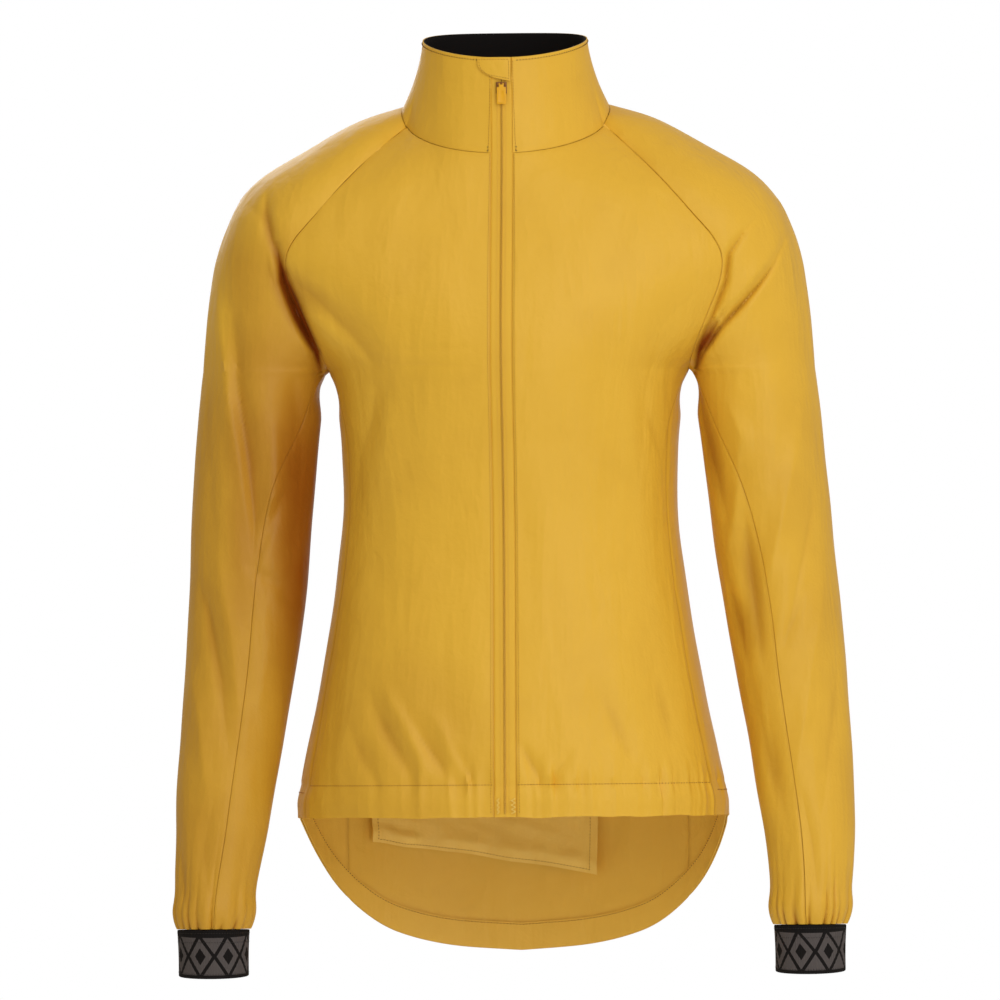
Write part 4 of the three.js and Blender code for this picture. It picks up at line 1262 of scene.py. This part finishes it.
def make_hem_stitches():
    row = HEM_CHANNEL / (UNDERARM - HEM_FRONT) * BODY_ROWS
    last = FRONT_COLUMNS - 0.5
    lines = [panel_line("front_right", row, 0.5, last, 200), panel_line("front_left", row, 0.5, last, 200)]
    add_thread("stitch_hem_front", lines, "hole_shaded_thread", pitch=2.5, length=1.7, radius=0.32)
    rows, normals = tail_strip()
    points, ups = risen(rows[:, 3:-3], normals[:, 3:-3], FACING_WIDTH - 1.6)
    inside = points - ups * (FACING_SINK + FACING_CLOTH + 0.1)
    add_thread("stitch_tail_facing", [(points + ups * 0.1, ups), (inside, -ups)], "hole_shaded_thread",
               pitch=2.6, length=1.9, radius=0.34)


def make_zip_stitches():
    body_top = BODY_ROWS + YOKE_ROWS
    lines = []
    for side, edge in (("right", 1.3), ("left", -1.3)):
        column = edge if edge > 0 else FRONT_COLUMNS + edge
        lines.append(column_line("front_" + side, column, 1.0, body_top - 0.4, 260, 0.05))
    for column in (1.3, COLLAR_COLUMNS - 2.3):
        lines.append(column_line("collar", column, 0.4, COLLAR_ROWS - 0.8, 60, 0.15))
    add_thread("stitch_zip_edges", lines, "hole_shaded_thread", pitch=2.4, length=1.2, radius=0.32)
    x = np.linspace(-1.5, 1.5, 4)
    heights = np.arange(HEM_FRONT + 4, SLIDER["low"], sizes().coil_pitch / MM)
    lines = [zip_surface(x, height + 0.25 * np.sin(x)) for height in heights]
    add_thread("zip_coil", lines, "coil", pitch=3.0, length=2.6, radius=0.42)
    for side in (-1, 1):
        z = np.linspace(HEM_FRONT + 3, 40, 300)
        lines = [zip_surface(np.full(300, side * 3.4), z)]
        add_thread("stitch_tape_" + side_word(side), lines, pitch=2.2, length=1.5, radius=0.16)


def make_bar_tacks():
    """Short zigzags that hold the zip's lower end."""
    lines = []
    turns = np.arange(8)
    for x_from, x_to in BAR_TACKS:
        heights = np.linspace(HEM_FRONT + 3, HEM_FRONT + 15, len(turns))
        points, ups = zip_surface(np.where(turns % 2 == 0, x_from, x_to), heights)
        lines.append((points + ups * 0.9, ups))
    add_thread("stitch_bar_tacks", lines, "bright_thread", pitch=1.0, length=1.1, radius=0.48)


def make_collar_stitches():
    count = COLLAR_COLUMNS - 1
    top = panel_line("collar", COLLAR_ROWS - 0.9, 3.0, count - 3.0, 420, 0.25)
    add_thread("stitch_collar_top", [top], "deep_hole_shaded_thread", pitch=2.5, length=1.0, radius=0.46)
    dots = []
    for column in (1.6, count - 1.6):
        for rise in (0.5, 1.5):
            columns = np.array([column - 0.5, column + 0.5])
            dots.append(on_panel("collar", np.array([rise, rise]), columns, 0.15))
    add_thread("stitch_collar_tacks", dots, "dark_thread", pitch=1.4, length=1.3, radius=0.42)


def make_garage_stitches():
    rows = garage_grid(0.1)
    normals = grid_normals(rows)
    path = [(27, c) for c in range(38, 2, -1)] + [(r, 2) for r in range(26, 3, -1)]
    path += [(3, c) for c in range(3, 38)] + [(r, 38) for r in range(4, 27)]
    r, c = np.transpose(path)
    add_thread("stitch_garage", [(rows[r, c], normals[r, c])], "hole_shaded_thread",
               pitch=2.2, length=1.4, radius=0.26)


def make_pocket_stitches(grid, ups):
    path = [(r, 2) for r in range(49, 1, -1)] + [(1, c) for c in range(2, 55)]
    path += [(r, 54) for r in range(2, 50)]
    r, c = np.transpose(path)
    add_thread("stitch_pocket_bag", [(grid[r, c] + ups[r, c] * 0.05, ups[r, c])], "hole_shaded_thread",
               pitch=2.6, length=1.6, radius=0.3)
    low = (POCKET["high"] - 4 - BACK_LOW) / (UNDERARM - BACK_LOW) * BODY_ROWS
    high = low + 3.2
    lines = [panel_line("back", row, 20, 56, 100) for row in (low, high)]
    lines += [column_line("back", column, low, high, 12) for column in (20, 56)]
    add_thread("stitch_pocket_opening", lines, pitch=2.5, length=1.8, radius=0.24)


def make_cuff_stitches(side):
    lines = []
    for share in (0.74, 0.09, 0.93):
        ring = cuff_ring(side, share, -0.12)
        ring = np.concatenate([ring, ring[:1]])
        lines.append((ring, outward_from_axis(ring, ring[:-1, 0].mean(), ring[:-1, 1].mean())))
    add_thread("stitch_cuff_" + side_word(side), lines, "dark_thread", pitch=2.3, length=1.8, radius=0.2)


# Materials


def linear(red, green, blue):
    """Linear colour of an ordinary 0 to 255 screen colour."""
    def one(v):
        v /= 255
        return v / 12.92 if v <= 0.04045 else ((v + 0.055) / 1.055) ** 2.4
    return (one(red), one(green), one(blue), 1.0)


def new_material(name, roughness, colour=None, metallic=0.0):
    material = bpy.data.materials.new(name)
    material.use_nodes = True
    shader = material.node_tree.nodes["Principled BSDF"]
    shader.inputs["Roughness"].default_value = roughness
    shader.inputs["Metallic"].default_value = metallic
    if colour:
        shader.inputs["Base Color"].default_value = colour
    return material, material.node_tree, shader


def add_node(tree, kind, **values):
    """A node with these values for its inputs or settings."""
    node = tree.nodes.new(kind)
    for name, value in values.items():
        if name in node.inputs:
            node.inputs[name].default_value = value
        else:
            setattr(node, name, value)
    return node


def mixed_colour(tree, amount, first, second):
    """Colour output between two colours, by the output that gives the amount."""
    shade = add_node(tree, "ShaderNodeMixRGB", Color1=first, Color2=second)
    tree.links.new(amount, shade.inputs["Fac"])
    return shade.outputs["Color"]


def math_node(tree, operation, first, second=None):
    node = tree.nodes.new("ShaderNodeMath")
    node.operation = operation
    for socket, value in zip(node.inputs, (first, second)):
        if value is None:
            continue
        if isinstance(value, (int, float)):
            socket.default_value = value
        else:
            tree.links.new(value, socket)
    return node.outputs[0]


def weave_height(tree, pitch):
    """Fine woven surface, of crossing waves on the cloth's own UV map."""
    uv = add_node(tree, "ShaderNodeUVMap", uv_map="cloth")
    heights = []
    for direction in ("X", "Y"):
        wave = add_node(tree, "ShaderNodeTexWave", Scale=2 * math.pi / 20 / (pitch * MM), Distortion=0.4)
        wave.bands_direction = direction
        tree.links.new(uv.outputs["UV"], wave.inputs["Vector"])
        heights.append(wave.outputs["Fac"])
    return math_node(tree, "MULTIPLY", math_node(tree, "ADD", heights[0], heights[1]), 0.5)


def crumple_height(tree, scale, detail=3.0, rough=0.5, upright=1.0):
    """Soft uneven surface; upright below 1 draws it out into long upright streaks."""
    place = add_node(tree, "ShaderNodeTexCoord")
    drawn = add_node(tree, "ShaderNodeMapping", Scale=(1.0, 1.0, upright))
    noise = add_node(tree, "ShaderNodeTexNoise", Scale=scale, Detail=detail, Roughness=rough, Distortion=0.25)
    tree.links.new(place.outputs["Object"], drawn.inputs["Vector"])
    tree.links.new(drawn.outputs["Vector"], noise.inputs["Vector"])
    return noise.outputs["Fac"]


def add_bump(tree, shader, height, strength, distance, under=None):
    bump = add_node(tree, "ShaderNodeBump", Strength=strength, Distance=distance * MM)
    tree.links.new(height, bump.inputs["Height"])
    if under is not None:
        tree.links.new(under, bump.inputs["Normal"])
    tree.links.new(bump.outputs["Normal"], shader.inputs["Normal"])
    return bump.outputs["Normal"]


def cloth_material(name, lit, deep, roughness, weave=0.45, crumple=0.6):
    """Thin woven nylon: painted shade in its folds and shaded zones, mixed from lit towards deep by the fold
    attribute, with a random cloudy tone, small crumples and a fine weave.
    """
    material, tree, shader = new_material(name, roughness)
    shader.inputs["Sheen Weight"].default_value = 0.02
    shader.inputs["Sheen Roughness"].default_value = 0.4
    shader.inputs["Specular IOR Level"].default_value = 0.3
    # lit is the cloth's colour in light, deep the colour of the painted shade that the fold attribute carries
    fold = add_node(tree, "ShaderNodeAttribute", attribute_name="fold")
    cloud = math_node(tree, "MULTIPLY", math_node(tree, "SUBTRACT", crumple_height(tree, 18), 0.5), 0.25)
    amount = math_node(tree, "ADD", fold.outputs["Fac"], cloud)
    limit = add_node(tree, "ShaderNodeClamp")
    tree.links.new(amount, limit.inputs["Value"])
    tree.links.new(mixed_colour(tree, limit.outputs["Result"], lit, deep), shader.inputs["Base Color"])
    streaks = crumple_height(tree, 30, upright=0.2)
    crumples = crumple_height(tree, 55, detail=4.0, rough=0.55)
    under = add_bump(tree, shader, streaks, 1.5 * crumple, 4.0)
    under = add_bump(tree, shader, crumples, 1.3 * crumple, 1.1, under)
    add_bump(tree, shader, weave_height(tree, weave), 0.35, 0.06, under)
    return material


def lozenge_mask(tree):
    """Large hollow lozenges round the cuff, 1 on a band of one and 0 elsewhere."""
    uv = add_node(tree, "ShaderNodeUVMap", uv_map="cloth")
    apart = add_node(tree, "ShaderNodeSeparateXYZ")
    tree.links.new(uv.outputs["UV"], apart.inputs["Vector"])
    turns = math_node(tree, "MULTIPLY", apart.outputs["X"], 1 / sizes().lozenge_width)
    across = math_node(tree, "FRACT", turns)
    x = math_node(tree, "ABSOLUTE", math_node(tree, "SUBTRACT", across, 0.5))
    height = math_node(tree, "MULTIPLY", math_node(tree, "SUBTRACT", apart.outputs["Y"], 0.018), 1 / 0.034)
    y = math_node(tree, "ABSOLUTE", height)
    away = math_node(tree, "ADD", x, y)
    ring = math_node(tree, "MULTIPLY", math_node(tree, "GREATER_THAN", away, 0.2),
                     math_node(tree, "LESS_THAN", away, 0.42))
    corner = math_node(tree, "GREATER_THAN", away, 0.56)
    band = math_node(tree, "LESS_THAN", y, 0.44)
    return math_node(tree, "MULTIPLY", math_node(tree, "ADD", ring, corner), band)


def elastic_material(dark, motif):
    """Black ribbed elastic with a plain grey figure of lozenges."""
    material, tree, shader = new_material("cuff elastic", 0.8)
    shader.inputs["Specular IOR Level"].default_value = 0.2
    tree.links.new(mixed_colour(tree, lozenge_mask(tree), dark, motif), shader.inputs["Base Color"])
    add_bump(tree, shader, weave_height(tree, 0.8), 0.6, 0.15)
    return material


def make_materials(look):
    lit = tuple(look.cloth_colour) + (1.0,)
    # deep is the colour of the painted shade in folds and shaded zones
    deep = tuple(look.painted_shade_colour) + (1.0,)
    MATERIALS["nylon"] = cloth_material("yellow nylon", lit, deep, look.cloth_roughness)
    # The reverse is paler, as the back of the nylon is, and lighter still as painted light on the shaded
    # inside of the tail
    MATERIALS["reverse"] = cloth_material("reverse of the nylon", linear(242, 196, 80), deep, 0.5)
    # The pocket bag is a paler copy of the nylon, as painted light on the bag in the shaded inside of the
    # back
    MATERIALS["pocket"] = cloth_material("pocket nylon", linear(252, 214, 108), deep, 0.46, crumple=0.9)
    MATERIALS["tape"] = cloth_material("zip tape", lit, deep, 0.6, weave=0.8, crumple=0.2)
    lining = tuple(look.lining_colour) + (1.0,)
    MATERIALS["lining"], tree, shader = new_material("black lining", 0.9, lining)
    shader.inputs["Specular IOR Level"].default_value = 0.2
    add_bump(tree, shader, weave_height(tree, 0.9), 0.5, 0.1)
    MATERIALS["elastic"] = elastic_material(lining, tuple(look.motif_colour) + (1.0,))
    for name, words, colour, roughness in (
        ("thread", "yellow thread", linear(222, 178, 74), 0.55),
        # These two threads are darker as painted shade of their needle holes and seam grooves
        ("hole_shaded_thread", "thread darkened as painted hole shade", linear(160, 104, 22), 0.6),
        ("deep_hole_shaded_thread", "thread darkened as deeper painted hole shade", linear(104, 62, 14), 0.6),
        ("bright_thread", "bar-tack thread", linear(250, 222, 120), 0.5),
        ("coil", "zip coil", linear(214, 170, 62), 0.42),
        ("dark_thread", "black thread", linear(30, 28, 30), 0.6),
        # The slider is dark brown as painted shade of the dark slot beside the pull
        ("shade_dark_plastic", "slider dark as painted shade", linear(134, 82, 10), 0.42),
        ("pull", "pull tab finish", linear(230, 172, 8), 0.42),
    ):
        MATERIALS[name], _, _ = new_material(words, roughness, colour)


# Floor, light and camera


def light_panel(name, size, power, place, target, colour=(1, 1, 1)):
    light = bpy.data.lights.new(name, "AREA")
    light.shape = "RECTANGLE"
    light.size, light.size_y = size
    light.energy = power
    light.color = colour
    obj = bpy.data.objects.new(name, light)
    bpy.context.scene.collection.objects.link(obj)
    obj.location = place
    obj.rotation_euler = (Vector(target) - Vector(place)).to_track_quat("-Z", "Y").to_euler()
    return obj


def backdrop_step(tree, depth):
    """A step from 0 in the room to 1 straight behind the jacket."""
    step = add_node(tree, "ShaderNodeMapRange", interpolation_type="SMOOTHSTEP")
    step.inputs["From Min"].default_value = BACKDROP_FROM
    step.inputs["From Max"].default_value = BACKDROP_FULL
    tree.links.new(depth, step.inputs["Value"])
    return step


def make_stage(look):
    """Floor, pale room, lights and camera."""
    scene = bpy.context.scene
    bpy.ops.object.select_all(action="DESELECT")
    bpy.ops.mesh.primitive_plane_add(size=look.floor_size, location=(0, 0, look.floor_height))
    floor = bpy.context.object
    floor.name = "floor"
    bpy.ops.object.transform_apply(location=True, rotation=True, scale=True)
    material, _, _ = new_material("pale floor", 0.9, (0.82, 0.82, 0.82, 1.0))
    floor.data.materials.append(material)
    world = bpy.data.worlds.new("pale room")
    scene.world = world
    world.use_nodes = True
    tree = world.node_tree
    background = tree.nodes["Background"]
    away = add_node(tree, "ShaderNodeTexCoord")
    apart = add_node(tree, "ShaderNodeSeparateXYZ")
    tree.links.new(away.outputs["Generated"], apart.inputs["Vector"])
    backdrop = backdrop_step(tree, apart.outputs["Y"])
    lit = math_node(tree, "ADD", math_node(tree, "MULTIPLY", apart.outputs["X"], LIGHTER_RIGHT), 1.0)
    lit = math_node(tree, "ADD", math_node(tree, "MULTIPLY", apart.outputs["Z"], LIGHTER_ABOVE), lit)
    tree.links.new(math_node(tree, "MULTIPLY", lit, look.room_light), backdrop.inputs["To Min"])
    backdrop.inputs["To Max"].default_value = look.backdrop_light
    tree.links.new(backdrop.outputs["Result"], background.inputs["Strength"])
    whiter = backdrop_step(tree, apart.outputs["Y"]).outputs["Result"]
    tree.links.new(mixed_colour(tree, whiter, ROOM_TINT, WHITE), background.inputs["Color"])
    middle = (0, 0, -0.28)
    key = light_panel("key light", (1.3, 1.9), look.key_power, (1.05, -2.2, 0.75), middle)
    right = light_panel("right light", (0.6, 1.8), look.side_power, (2.6, -0.4, 0.1), middle)
    low = light_panel("low light", (0.9, 0.5), look.low_power, (0.9, -2.5, -0.9), (0.02, 0.1, -0.62))
    behind = light_panel("light behind", (1.2, 1.6), look.behind_power, (-1.0, 2.4, 0.9), middle)
    left = light_panel("left light", (1.6, 1.6), look.fill_power, (-0.7, -2.4, 1.3), middle, (1.0, 0.93, 0.8))
    camera_data = bpy.data.cameras.new("camera")
    camera_data.lens = look.camera_lens
    camera_data.sensor_width = 36.0
    camera_data.clip_end = 80.0
    camera = bpy.data.objects.new("camera", camera_data)
    scene.collection.objects.link(camera)
    yaw = math.radians(look.camera_yaw)
    target = Vector((look.target_x, 0.0, look.target_z))
    camera.location = target + Vector((math.sin(yaw), -math.cos(yaw), 0.0)) * look.camera_distance
    turn = (target - camera.location).to_track_quat("-Z", "Y").to_matrix().to_4x4()
    camera.matrix_world = Matrix.Translation(camera.location) @ turn @ Matrix.Rotation(
        math.radians(look.camera_roll), 4, "Z")
    scene.camera = camera
    scene.view_settings.view_transform = "Standard"


# Sizes and looks that a user can change


class JacketSizes(bpy.types.PropertyGroup):
    cloth: bpy.props.FloatProperty(
        name="Cloth", description="Thickness of the nylon", default=0.0008, min=0.0001, unit="LENGTH")
    coil_pitch: bpy.props.FloatProperty(
        name="Coil pitch", description="From turn to turn of the zip", default=0.0015, min=0.0005,
        unit="LENGTH")
    lozenge_width: bpy.props.FloatProperty(
        name="Lozenge", description="Width of a lozenge on the cuffs", default=0.0243, min=0.001,
        unit="LENGTH")
    cuff_ribs: bpy.props.IntProperty(
        name="Cuff ribs", description="Number of fine ribs round a cuff", default=84, min=10)


class JacketLook(bpy.types.PropertyGroup):
    cloth_colour: bpy.props.FloatVectorProperty(
        name="Cloth", description="Colour of the yellow nylon", subtype="COLOR", size=3,
        default=linear(228, 182, 58)[:3])
    # Colour of the painted shade in folds and shaded zones
    painted_shade_colour: bpy.props.FloatVectorProperty(
        name="Folds", description="Colour deep in a fold", subtype="COLOR", size=3,
        default=linear(140, 66, 3)[:3])
    lining_colour: bpy.props.FloatVectorProperty(
        name="Lining", description="Colour of lining and elastic", subtype="COLOR", size=3,
        default=linear(15, 13, 15)[:3])
    motif_colour: bpy.props.FloatVectorProperty(
        name="Cuff figure", description="Colour of the lozenges on the cuffs", subtype="COLOR", size=3,
        default=linear(84, 80, 82)[:3])
    cloth_roughness: bpy.props.FloatProperty(
        name="Cloth roughness", description="Roughness of the nylon", default=0.46, min=0, max=1)
    room_light: bpy.props.FloatProperty(
        name="Room light", description="Brightness of the pale room", default=0.46, min=0)
    backdrop_light: bpy.props.FloatProperty(
        name="Backdrop", description="Brightness of the pale backdrop behind the jacket", default=1.0, min=0)
    key_power: bpy.props.FloatProperty(
        name="Key light", description="Power of the large front light", default=19.0, unit="POWER")
    side_power: bpy.props.FloatProperty(
        name="Side light", description="Power of the light at the right", default=2.0, unit="POWER")
    fill_power: bpy.props.FloatProperty(
        name="Fill light", description="Power of the weak light at the left", default=9.0, unit="POWER")
    low_power: bpy.props.FloatProperty(
        name="Low light", description="Power of the light towards the tail", default=6.0, unit="POWER")
    behind_power: bpy.props.FloatProperty(
        name="Light behind", description="Power of the light behind the jacket", default=16.0, unit="POWER")
    floor_size: bpy.props.FloatProperty(
        name="Floor", description="Side of the floor", default=7.0, unit="LENGTH")
    floor_height: bpy.props.FloatProperty(
        name="Floor height", description="Height of the floor below the neck", default=-1.05, unit="LENGTH")
    camera_lens: bpy.props.FloatProperty(
        name="Lens", description="Focal length in millimetres", default=1350.0)
    camera_distance: bpy.props.FloatProperty(
        name="Camera distance", description="From the camera to its target", default=30.0, unit="LENGTH")
    camera_yaw: bpy.props.FloatProperty(
        name="Camera turn", description="Degrees the camera stands to the right", default=3.0)
    camera_roll: bpy.props.FloatProperty(
        name="Camera roll", description="Degrees the camera is rolled", default=-0.52)
    target_x: bpy.props.FloatProperty(
        name="Target across", description="Where the camera looks, across", default=-0.0081, unit="LENGTH")
    target_z: bpy.props.FloatProperty(
        name="Target height", description="Where the camera looks, in height", default=-0.304, unit="LENGTH")


# Operators and panel


def checked(*names):
    """Stops with an error where a piece has not been made."""
    for name in names:
        if name not in bpy.data.objects:
            raise RuntimeError("not made: " + name)
    return {"FINISHED"}


class JACKET_OT_body(bpy.types.Operator):
    """Makes the fronts, side panels and back"""
    bl_idname = "jacket.body"
    bl_label = "Body Panels"

    def execute(self, context):
        make_shell()
        make_materials(context.scene.jacket_look)
        for name in ("front_left", "front_right", "side_left", "side_right", "back"):
            make_panel(name)
        return checked("cloth_back", "cloth_front_left", "cloth_front_right")


class JACKET_OT_sleeves(bpy.types.Operator):
    """Makes the raglan sleeves"""
    bl_idname = "jacket.sleeves"
    bl_label = "Sleeves"

    def execute(self, context):
        for name in ("sleeve_outer_left", "sleeve_outer_right", "sleeve_under_left", "sleeve_under_right"):
            make_panel(name)
        return checked("cloth_sleeve_outer_left", "cloth_sleeve_under_right")


class JACKET_OT_collar(bpy.types.Operator):
    """Makes the stand collar and its black lining"""
    bl_idname = "jacket.collar"
    bl_label = "Collar"

    def execute(self, context):
        make_panel("collar")
        make_collar_lining()
        make_collar_stitches()
        return checked("cloth_collar", "lining_collar")


class JACKET_OT_tail(bpy.types.Operator):
    """Makes the tail's turned hem, the back pocket and their stitching"""
    bl_idname = "jacket.tail"
    bl_label = "Tail and Back Pocket"

    def execute(self, context):
        make_tail_facing()
        grid, ups = make_back_pocket()
        make_pocket_stitches(grid, ups)
        make_hem_stitches()
        return checked("facing_tail", "pocket_back", "stitch_hem_front")


class JACKET_OT_zip(bpy.types.Operator):
    """Makes the zip tapes, coil, garage and stitching"""
    bl_idname = "jacket.zip"
    bl_label = "Zip"

    def execute(self, context):
        for side in (-1, 1):
            make_zip_tape(side)
        make_zip_stitches()
        make_bar_tacks()
        make_garage()
        make_garage_stitches()
        return checked("zip_coil", "zip_garage_cloth")


class JACKET_OT_slider(bpy.types.Operator):
    """Makes the slider and its pull tab"""
    bl_idname = "jacket.slider"
    bl_label = "Slider and Pull Tab"

    def execute(self, context):
        make_slider()
        make_pull()
        return checked("slider_body", "pull_plate")


class JACKET_OT_cuffs(bpy.types.Operator):
    """Makes the elastic cuffs"""
    bl_idname = "jacket.cuffs"
    bl_label = "Cuffs"

    def execute(self, context):
        for side in (-1, 1):
            make_cuff(side)
            make_cuff_stitches(side)
        return checked("cuff_band_left", "cuff_band_right")


class JACKET_OT_stage(bpy.types.Operator):
    """Makes the floor, light and camera"""
    bl_idname = "jacket.stage"
    bl_label = "Stage"

    def execute(self, context):
        make_stage(context.scene.jacket_look)
        return checked("floor", "camera")


OPERATORS = (
    JACKET_OT_body, JACKET_OT_sleeves, JACKET_OT_collar, JACKET_OT_tail,
    JACKET_OT_zip, JACKET_OT_slider, JACKET_OT_cuffs, JACKET_OT_stage,
)


class JACKET_PT_panel(bpy.types.Panel):
    bl_label = "Windbreaker Jacket"
    bl_space_type = "VIEW_3D"
    bl_region_type = "UI"
    bl_category = "Jacket"

    def draw(self, context):
        for name in ("cloth", "coil_pitch", "lozenge_width", "cuff_ribs"):
            self.layout.prop(context.scene.jacket_sizes, name)
        look = context.scene.jacket_look
        for name in ("cloth_colour", "painted_shade_colour", "cloth_roughness", "key_power", "room_light"):
            self.layout.prop(look, name)
        for operator in OPERATORS:
            self.layout.operator(operator.bl_idname)


CLASSES = (JacketSizes, JacketLook) + OPERATORS + (JACKET_PT_panel,)


def register():
    for item in CLASSES:
        bpy.utils.register_class(item)
    bpy.types.Scene.jacket_sizes = bpy.props.PointerProperty(type=JacketSizes)
    bpy.types.Scene.jacket_look = bpy.props.PointerProperty(type=JacketLook)


def unregister():
    del bpy.types.Scene.jacket_look
    del bpy.types.Scene.jacket_sizes
    for item in reversed(CLASSES):
        bpy.utils.unregister_class(item)


def main():
    register()
    for operator in OPERATORS:
        area, name = operator.bl_idname.split(".")
        getattr(getattr(bpy.ops, area), name)()


if __name__ == "__main__":
    main()
